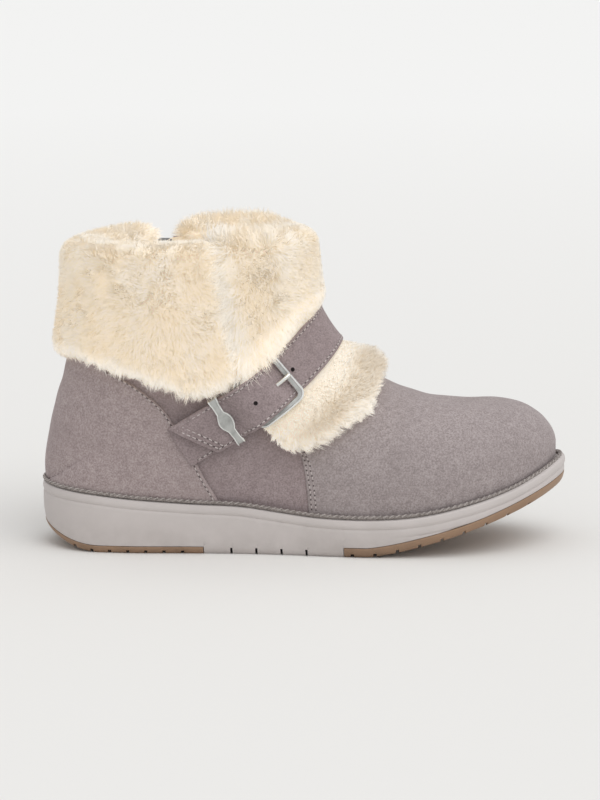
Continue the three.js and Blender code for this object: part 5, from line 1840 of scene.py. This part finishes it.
def makeStitching():
    threads, holes = [], []

    def sew(line):
        length = stitch["length"]
        at, along, off = paced(*line, stitch["pitch"])
        threads.append(stitchesAt(at, along, off, length, stitch["width"]))
        ends = np.concatenate([at - along * length / 2, at + along * length / 2])
        # each needle hole is a flat disc in a darker colour: painted shade for the hole
        holes.append(discsAt(ends, np.concatenate([off, off]), stitch["hole"]))

    half = boot["strapWidth"] / 2 - stitch["fromEdge"]
    end = strapRoute["length"] - stitch["fromTip"]
    for side in (-1, 1):
        begin = strap["from"] + strap["slant"] * side * half / (boot["strapWidth"] / 2) * 0.9 + 2.2
        s = np.arange(begin, end, 0.8)
        sew(strapLine(s, side * half))
        s = np.arange(anchor["start"] + stitch["anchorFrom"], buckle["hinge"] - stitch["anchorTo"], 0.8)
        sew(strapLine(s, side * (anchor["half"] - stitch["anchorEdge"]), anchorTop))
    w = np.linspace(half, -half, 24)
    for inset in stitch["acrossStart"]:
        sew(strapLine(strap["from"] + strap["slant"] * w / (boot["strapWidth"] / 2) + inset, w))
    for side in (-1, 1):
        r = np.linspace(0.015, 0.97, 160)
        u, v = counterPlace(r, side * (1 - 0.8 / 70))
        sew(skinLine(u, v, counter["thickness"]))
    for side in (-1, 1):
        row = side * np.linspace(0.965, 0.3, 200)
        for behind in vampStitch["behind"]:
            u = seamAt(row)
            gap = np.linalg.norm(surface(u - 0.05, row) - surface(u + 0.05, row), axis=-1) / 0.1
            u = u - behind / gap
            line, off = skinLine(u, row, 0.0)
            bare = line[:, 2] < vampStitch["top"]  # the fleece covers the rest
            pitch = vampStitch["pitch"]
            at, along, away = paced(line[bare], off[bare], pitch)
            holes.append(discsAt(at, away, stitch["hole"] * vampStitch["hole"]))
            between = at + along * (pitch / 2)
            threads.append(stitchesAt(between, along, away, vampStitch["length"], vampStitch["width"]))
    sewn = meshFrom("stitching", *gathered(threads))
    give(sewn, "thread")
    pierced = meshFrom("needleHoleShade", *gathered(holes))
    give(pierced, "pinholeShade")


def makeStrapHoles():
    # punched holes along the strap's middle, each with a soft rim round a flat near-black disc that is
    # painted shade for the opening
    at, off = strapLine(strap["holes"], [0.0] * len(strap["holes"]))
    turn = np.linspace(0, 2 * np.pi, 24, endpoint=False)
    circle = circlesOn(off, turn)
    rings = []
    for radius, lift in ((1.6, -0.05), (1.35, 0.12), (1.1, 0.1), (0.02, 0.05)):
        rings.append(at[:, None] + off[:, None] * lift + circle * radius)
    points = np.stack(rings, axis=1)
    faces = gridFaces(len(rings), turn.size, wrap=True)
    thing = meshFrom("strapHoles", *gathered([(p.reshape(-1, 3), faces) for p in points]))
    give(thing, "strapSuede")
    inner = (len(rings) - 1) * turn.size
    # the flat middle of each hole is painted shade in near-black
    faceSecond(thing, "punchedHoleShade", lambda f: max(v % (inner + turn.size) for v in f.vertices) >= inner)
    return thing


weltStitch = {"pitch": 3.1, "length": 2.9, "width": 0.75}


def makeWeltStitches():
    # pale thread laid slantwise over the cord
    points, out, _ = loopPath(
        lambda x: featherInset(x) - welt["clear"] - welt["width"] / 2 + 0.25,
        lambda x: soleTop(x) + touch + welt["height"] / 2,
        0.5,
    )
    off = unit(out * 0.8 + np.array([0, 0, 0.6]))
    at, along, away = paced(points, off, weltStitch["pitch"])
    slant = unit(along * 0.85 + np.cross(away, along) * 0.5)
    places = at + away * 0.95
    threads = stitchesAt(places, slant, away, weltStitch["length"], weltStitch["width"])
    thing = meshFrom("weltStitching", *gathered([threads]))
    return give(thing, "cordThread")


makeStitching()
makeStrapHoles()
makeWeltStitches()
print("stitches ready")

# ---- wool: combed strands rooted on the cuffs

hang = np.array([0.0, 0.0, -1.0])


def sheetFrames(sheet):
    # outward normals, and the ways down the sheet and along its edge
    p = sheet["points"]
    alongRows, alongColumns = np.gradient(p, axis=0), np.gradient(p, axis=1)
    out = unit(np.cross(alongColumns, alongRows)) * sheet["outward"]
    return out, -unit(alongRows), unit(alongColumns)


def rootsOn(sheet, fields, density, count, own):
    # random places on a sheet, as many to each patch as its size and density ask, with every field read there
    p = sheet["points"]
    a, b = p[1:, :-1] - p[:-1, :-1], p[:-1, 1:] - p[:-1, :-1]
    weight = np.linalg.norm(np.cross(a, b), axis=-1) * (density[1:, 1:] + density[:-1, :-1]) / 2
    chosen = own.choice(weight.size, size=count, p=weight.ravel() / weight.sum())
    i, j = np.divmod(chosen, weight.shape[1])
    s, t = own.random(count), own.random(count)
    found = {}
    for name, field in {"points": p, **fields}.items():
        corner = [field[i, j], field[i + 1, j], field[i, j + 1], field[i + 1, j + 1]]
        shares = [(1 - s) * (1 - t), s * (1 - t), (1 - s) * t, s * t]
        if field.ndim == 3:
            shares = [k[:, None] for k in shares]
        found[name] = sum(c * k for c, k in zip(corner, shares))
    return found


def nearestOf(points, chosen):
    tree = KDTree(len(chosen))
    for k in chosen:
        tree.insert(points[k], int(k))
    tree.balance()
    return np.array([tree.find(p)[1] for p in points])


def growWool(name, sheet, fields, density, coat):
    # each strand is a short ribbon that tapers to a point; strands of one lock lean together at their tips
    own, count = np.random.default_rng(coat["seed"]), coat["strands"]
    roots = rootsOn(sheet, fields, density, count, own)
    seeds = np.arange(0, count, coat["perLock"])
    nearest = nearestOf(roots["points"], seeds)
    spike = own.uniform(-0.4, 0.5, count)[nearest] * roots["edge"]  # locks of their own length at an edge
    lengths = roots["length"] * own.uniform(0.72, 1.18, count) * (1 + spike)
    lean = np.clip(roots["lean"] + own.normal(0, coat["leanSpread"], count), 0.05, 1.5)
    out, way = unit(roots["out"]), roots["way"]
    way = unit(way - out * (way * out).sum(-1, keepdims=True))
    swing = own.normal(0, coat["swing"], count)
    way = way * np.cos(swing)[:, None] + np.cross(out, way) * np.sin(swing)[:, None]
    line = [roots["points"]]
    for rise, run, sag in ((0.55, 0.42, 0.3), (0.95, 1.08, 1.0)):
        along = out * (np.cos(lean) * rise)[:, None] + way * (np.sin(lean) * run)[:, None]
        along = along + own.normal(0, 0.07, (count, 3)) + hang * coat["sag"] * sag
        line.append(roots["points"] + along * lengths[:, None])
    grip = coat["lock"] + coat["edgeLock"] * roots["edge"]
    for k, share in ((1, 0.35), (2, 1.0)):
        line[k] = mix(line[k], line[k][nearest], (grip * share)[:, None])
    heading = unit(line[2] - line[0])
    across = unit(np.cross(heading, out) + 1e-6)
    turn = own.uniform(-0.9, 0.9, count)[:, None]
    across = across * np.cos(turn) + np.cross(heading, across) * np.sin(turn)
    width = coat["width"] * own.uniform(0.7, 1.25, count)[:, None]
    corners = []
    for k, share in ((0, 1.0), (1, 0.9)):
        corners += [line[k] - across * width * share / 2, line[k] + across * width * share / 2]
    corners.append(line[2])
    points = np.stack(corners, axis=1).reshape(-1, 3)
    base = (np.arange(count) * 5)[:, None]
    thing = meshFrom(name, points, [base + [0, 1, 3, 2], base + [2, 3, 4]])
    along = np.tile([0, 0, 0.5, 0.5, 1.0], count)
    tintAndShade = np.repeat(np.clip(roots["tintAndShade"] + own.normal(0, 0.12, count), -1, 1), 5)
    for label, values in (("along", along), ("tintAndShade", tintAndShade)):
        attribute = thing.data.attributes.new(label, "FLOAT", "POINT")
        attribute.data.foreach_set("value", values.astype(np.float32))
    # a pile takes light as one soft surface, so a strand mostly faces the way its root does
    facing = unit(np.repeat(unit(out * 0.8 + way * 0.25 - hang * 0.1), 5, axis=0))
    thing.data.normals_split_custom_set_from_vertices([tuple(n) for n in facing.tolist()])
    return give(thing, "woolStrands")


def drift(points, size, seed):
    # a direction that wanders smoothly over the fleece
    return np.stack([smoothNoise(points, size, seed + k) for k in range(3)], axis=-1)


def awayFrom(points, centre, reach):
    # wool parts from a place and lies away from it
    gap = points - np.array(centre)
    far = np.linalg.norm(gap, axis=-1, keepdims=True)
    return gap / np.maximum(far, 1) * np.exp(-((far / reach) ** 2)) * np.minimum(far / 8, 1)


rearWool = {
    "seed": 101,
    "base": 0.72,
    "strands": 64000,
    "length": 5.8,
    "lean": 0.5,
    "leanSpread": 0.22,
    "swing": 0.55,
    "sag": 0.06,
    "lock": 0.12,
    "edgeLock": 0.6,
    "perLock": 16,
    "width": 0.3,
    "whorl": (58, -42, 122),
}
crest = {"x": 98.0, "reach": 24.0, "more": 0.75, "less": 0.6, "cornerFrom": 112.0, "cornerTo": 130.0}


def crestOf(points, down):
    # the fleece stands higher at the front split and is rounder at the front corner
    x, top = points[..., 0], smooth(0.8, 1.0, down)
    hump = crest["more"] * np.exp(-(((x - crest["x"]) / crest["reach"]) ** 2))
    return 1 + top * (hump - crest["less"] * smooth(crest["cornerFrom"], crest["cornerTo"], x))


def overRoll(down):
    # past the top of the roll the wool lies the other way, into the boot
    return mix(1.0, -1.2, smooth(1.3, 1.6, down))[..., None]


def makeRearWool():
    sheet = rearSheet(rearWool["base"])
    points = sheet["points"]
    out, down, across = sheetFrames(sheet)
    base = meshFrom("cuffRearHide", points, [gridFaces(*points.shape[:2], flip=True)])
    give(base, "woolBase", ["cuff_rear"])
    low = smooth(9, 0, sheet["fromLow"])
    sides = smooth(8, 0, np.minimum(sheet["fromOuter"], sheet["fromZip"]))
    outerSide = smooth(8, 0, sheet["fromOuter"])
    # painted shade: the wool beside the front flap, where the flap overlaps it, is tinted duller
    flapShade = smooth(5, 1, sheet["fromOuter"]) * smooth(1.0, 0.8, sheet["down"])  # shade beside the front flap
    way = down * 0.6 + 0.6 * drift(points, 14, 11) + 0.45 * drift(points, 5, 21)
    way = way + 1.2 * awayFrom(points, rearWool["whorl"], 34)
    way = way + down * (low * 2.4)[..., None]
    zipEnd = sheet["fromZip"] < sheet["fromOuter"]
    way = way * overRoll(sheet["down"]) + across * (np.where(zipEnd, 1.0, -0.4) * sides * 1.2)[..., None]
    rolled = smooth(1.0, 1.4, sheet["down"])
    inside = smooth(1.7, 2.3, sheet["down"])
    nearRim = rolled * smooth(0, -20, points[..., 1])
    behind = smooth(46, 10, points[..., 0])  # shorter round the heel
    length = rearWool["length"] * (1 + 0.05 * low) * (1 - 0.35 * outerSide) * (1 - 0.45 * nearRim)
    length = length * (1 - 0.42 * behind)
    fields = {
        "out": out,
        "way": way,
        "length": length * np.where(points[..., 1] > 0, crestOf(points, sheet["down"]), 1),
        "lean": rearWool["lean"] + 0.6 * low + 0.25 * sides,
        "edge": np.maximum(low, 0.4 * sides),
        # the tint is painted shade along the lower edge and beside the front flap, where it drops below zero;
        # elsewhere it sets warmer or cooler locks
        "tintAndShade": 0.8 + 0.2 * smoothNoise(points, 16, 31) - 1.2 * low - 0.3 * rolled - 1.1 * flapShade,
    }
    density = (1.0 + 0.6 * low + 0.2 * sides + 0.3 * rolled) * (1 - 0.6 * inside)
    return growWool("cuffRearWool", sheet, fields, density, rearWool)


frontWool = {**rearWool, "seed": 202, "strands": 65000, "whorl": (120, -34, 122)}


def makeFrontWool():
    sheet = frontSheet(frontWool["base"])
    points = sheet["points"]
    out, down, across = sheetFrames(sheet)
    base = meshFrom("cuffFrontHide", points, [gridFaces(*points.shape[:2])])
    give(base, "woolBase", ["cuff_front"])
    patch = sheet["kind"] < 0
    flap = sheet["kind"] > 0
    low = np.where(patch, smooth(9, 0, sheet["fromLow"]), 0.0)
    outerSide = smooth(10, 0, sheet["fromOuter"]) * flap
    zipEnd = smooth(9, 0, sheet["fromZip"]) * flap
    # over the strap's upper edge the wool hangs down and covers the buckle's upper rail
    hung = np.where(flap, smooth(7, 0, sheet["fromStrap"]), 0)
    way = down * 0.55 + 0.6 * drift(points, 14, 41) + 0.4 * drift(points, 5, 51)
    way = way + 1.1 * awayFrom(points, frontWool["whorl"], 30)
    # on the patch below the strap the wool hangs out to the patch's edge all round
    patchWay = down * 0.6 + awayFrom(points, (140, -34, 84), 60) * 1.5 + 0.45 * drift(points, 7, 61)
    way = np.where(patch[..., None], patchWay + down * (low * 0.8)[..., None], way)
    way = way - across * (outerSide * 1.5)[..., None] + across * (zipEnd * 1.2)[..., None]
    way = (way + down * (hung * 1.6)[..., None]) * overRoll(sheet["down"])
    # under the strap it is pressed flat
    full = np.where(sheet["kind"] == 0, 0.3, 1.0)
    length = frontWool["length"] * full * (1 - 0.1 * low) * (1 + 0.2 * hung) * (1 + 0.35 * outerSide)
    pressed = np.where(patch, smooth(6, 0, sheet["fromStrap"]), 0)
    # on the patch below the strap the tint drops below zero, painted shade, and its lower fringe is less
    # dulled
    tintAndShade = np.where(patch, 0.5 * low - 0.7, 0.66 - 0.8 * outerSide - 0.35 * hung)
    fields = {
        "out": out,
        "way": way,
        "length": length * np.where(patch, 1 - 0.35 * pressed, crestOf(points, sheet["down"])),
        "lean": frontWool["lean"] + 0.5 * low + 0.55 * hung + 0.2 * np.maximum(outerSide, zipEnd),
        "edge": np.maximum(low, 0.5 * outerSide),
        "tintAndShade": tintAndShade + 0.2 * smoothNoise(points, 15, 71),
    }
    density = (1.0 + 0.7 * low + 0.4 * outerSide + 0.5 * hung) * np.where(sheet["kind"] == 0, 0.12, 1.0)
    density = density * (1 - 0.6 * smooth(1.7, 2.3, sheet["down"]))
    return growWool("cuffFrontWool", sheet, fields, density, frontWool)


liningWool = {**rearWool, "seed": 303, "strands": 30000, "length": 4.6, "lean": 0.8, "width": 0.4}
liningWool["rim"] = 150


def makeLiningWool():
    points, inward = liningSheet()
    sheet = {"points": points, "outward": -1}
    _, down, _ = sheetFrames(sheet)
    depth = liningWool["rim"] - points[..., 2]
    density = smooth(46, 20, depth) * (~inNotch(points))
    fields = {
        "out": inward,
        "way": down * 0.8 + 0.9 * drift(points, 12, 81),
        "length": liningWool["length"] * np.ones(depth.shape),
        "lean": liningWool["lean"] * np.ones(depth.shape),
        "edge": np.zeros(depth.shape),
        "tintAndShade": 0.6 + 0.3 * smoothNoise(points, 14, 91),
    }
    return growWool("liningWool", sheet, fields, density, liningWool)


makeRearWool()
makeFrontWool()
makeLiningWool()
print("wool ready")

# ---- studio


def makeStudio():
    # one sheet of paper under a sky that is brighter from above, and a broad soft sun; the paper is painted
    # darker near the boot, as painted shade
    reach = 30.0
    sheet = bpy.data.meshes.new("floor")
    corners = [(reach * a, reach * b, 0) for a, b in ((-1, -1), (1, -1), (1, 1), (-1, 1))]
    sheet.from_pydata(corners, [], [(0, 1, 2, 3)])
    paper = bpy.data.objects.new("floor", sheet)
    bpy.context.scene.collection.objects.link(paper)
    material = bpy.data.materials.new("paper")
    material.use_nodes = True
    principled = material.node_tree.nodes["Principled BSDF"]
    principled.inputs["Roughness"].default_value = 0.9
    where = addNode(material.node_tree, "ShaderNodeTexCoord").outputs["Object"]
    length = addNode(material.node_tree, "ShaderNodeVectorMath", {0: where}, operation="LENGTH")
    away = length.outputs["Value"]
    # painted shade: the paper is darker near the boot and lighter further off
    far = spread(material.node_tree, away, *studio["paperShadeReach"])
    shade = mixColor(material.node_tree, far, paint(*studio["shadedNearPaper"]), paint(*studio["paper"]))
    material.node_tree.links.new(shade, principled.inputs["Base Color"])
    sheet.materials.append(material)
    paper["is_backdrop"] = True
    world = bpy.data.worlds.new("studio")
    world.use_nodes = True
    tree = world.node_tree
    facing = addNode(tree, "ShaderNodeTexCoord").outputs["Generated"]
    toSun = tuple(Vector(studio["sunFrom"]).normalized())
    sockets = {0: facing, 1: toSun}
    level = addNode(tree, "ShaderNodeVectorMath", sockets, operation="DOT_PRODUCT").outputs["Value"]
    background = tree.nodes["Background"]
    background.inputs["Color"].default_value = (*studio["sky"], 1)
    tree.links.new(spread(tree, level, -0.6, 1.0, *studio["skyStrength"]), background.inputs["Strength"])
    bpy.context.scene.world = world
    bpy.context.scene.view_settings.view_transform = "Standard"
    data = bpy.data.lights.new("sun", "SUN")
    data.energy, data.angle = studio["sun"], math.radians(studio["sunAngle"])
    sun = bpy.data.objects.new("sun", data)
    sun.rotation_euler = (-Vector(studio["sunFrom"])).to_track_quat("-Z", "Y").to_euler()
    bpy.context.scene.collection.objects.link(sun)


studio = {
    "paper": (239, 239, 237),
    "shadedNearPaper": (230, 229, 226),
    "paperShadeReach": (0.25, 2.6),
    "sky": (0.99, 0.99, 1.0),
    "skyStrength": (0.42, 0.93),
    "sun": 1.0,
    "sunAngle": 50.0,
    "sunFrom": (0.55, -0.75, 1.5),
}
view = {"distance": 1.6, "elevation": 10.0, "target": (-0.0022, 0.0005, 0.072), "lens": 142.6, "frame": 36.0}


def makeCamera():
    data = bpy.data.cameras.new("camera")
    data.sensor_fit, data.sensor_height, data.lens = "VERTICAL", view["frame"], view["lens"]
    camera = bpy.data.objects.new("camera", data)
    tilt = math.radians(view["elevation"])
    target = Vector(view["target"])
    camera.location = target + view["distance"] * Vector((0, -math.cos(tilt), math.sin(tilt)))
    camera.rotation_euler = (target - camera.location).to_track_quat("-Z", "Y").to_euler()
    bpy.context.scene.collection.objects.link(camera)
    bpy.context.scene.camera = camera


makeStudio()
makeCamera()
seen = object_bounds()
for label, box in (("cad", cadBox), ("visual", seen)):
    print(label, [tuple(round(v, 4) for v in c) for c in box])
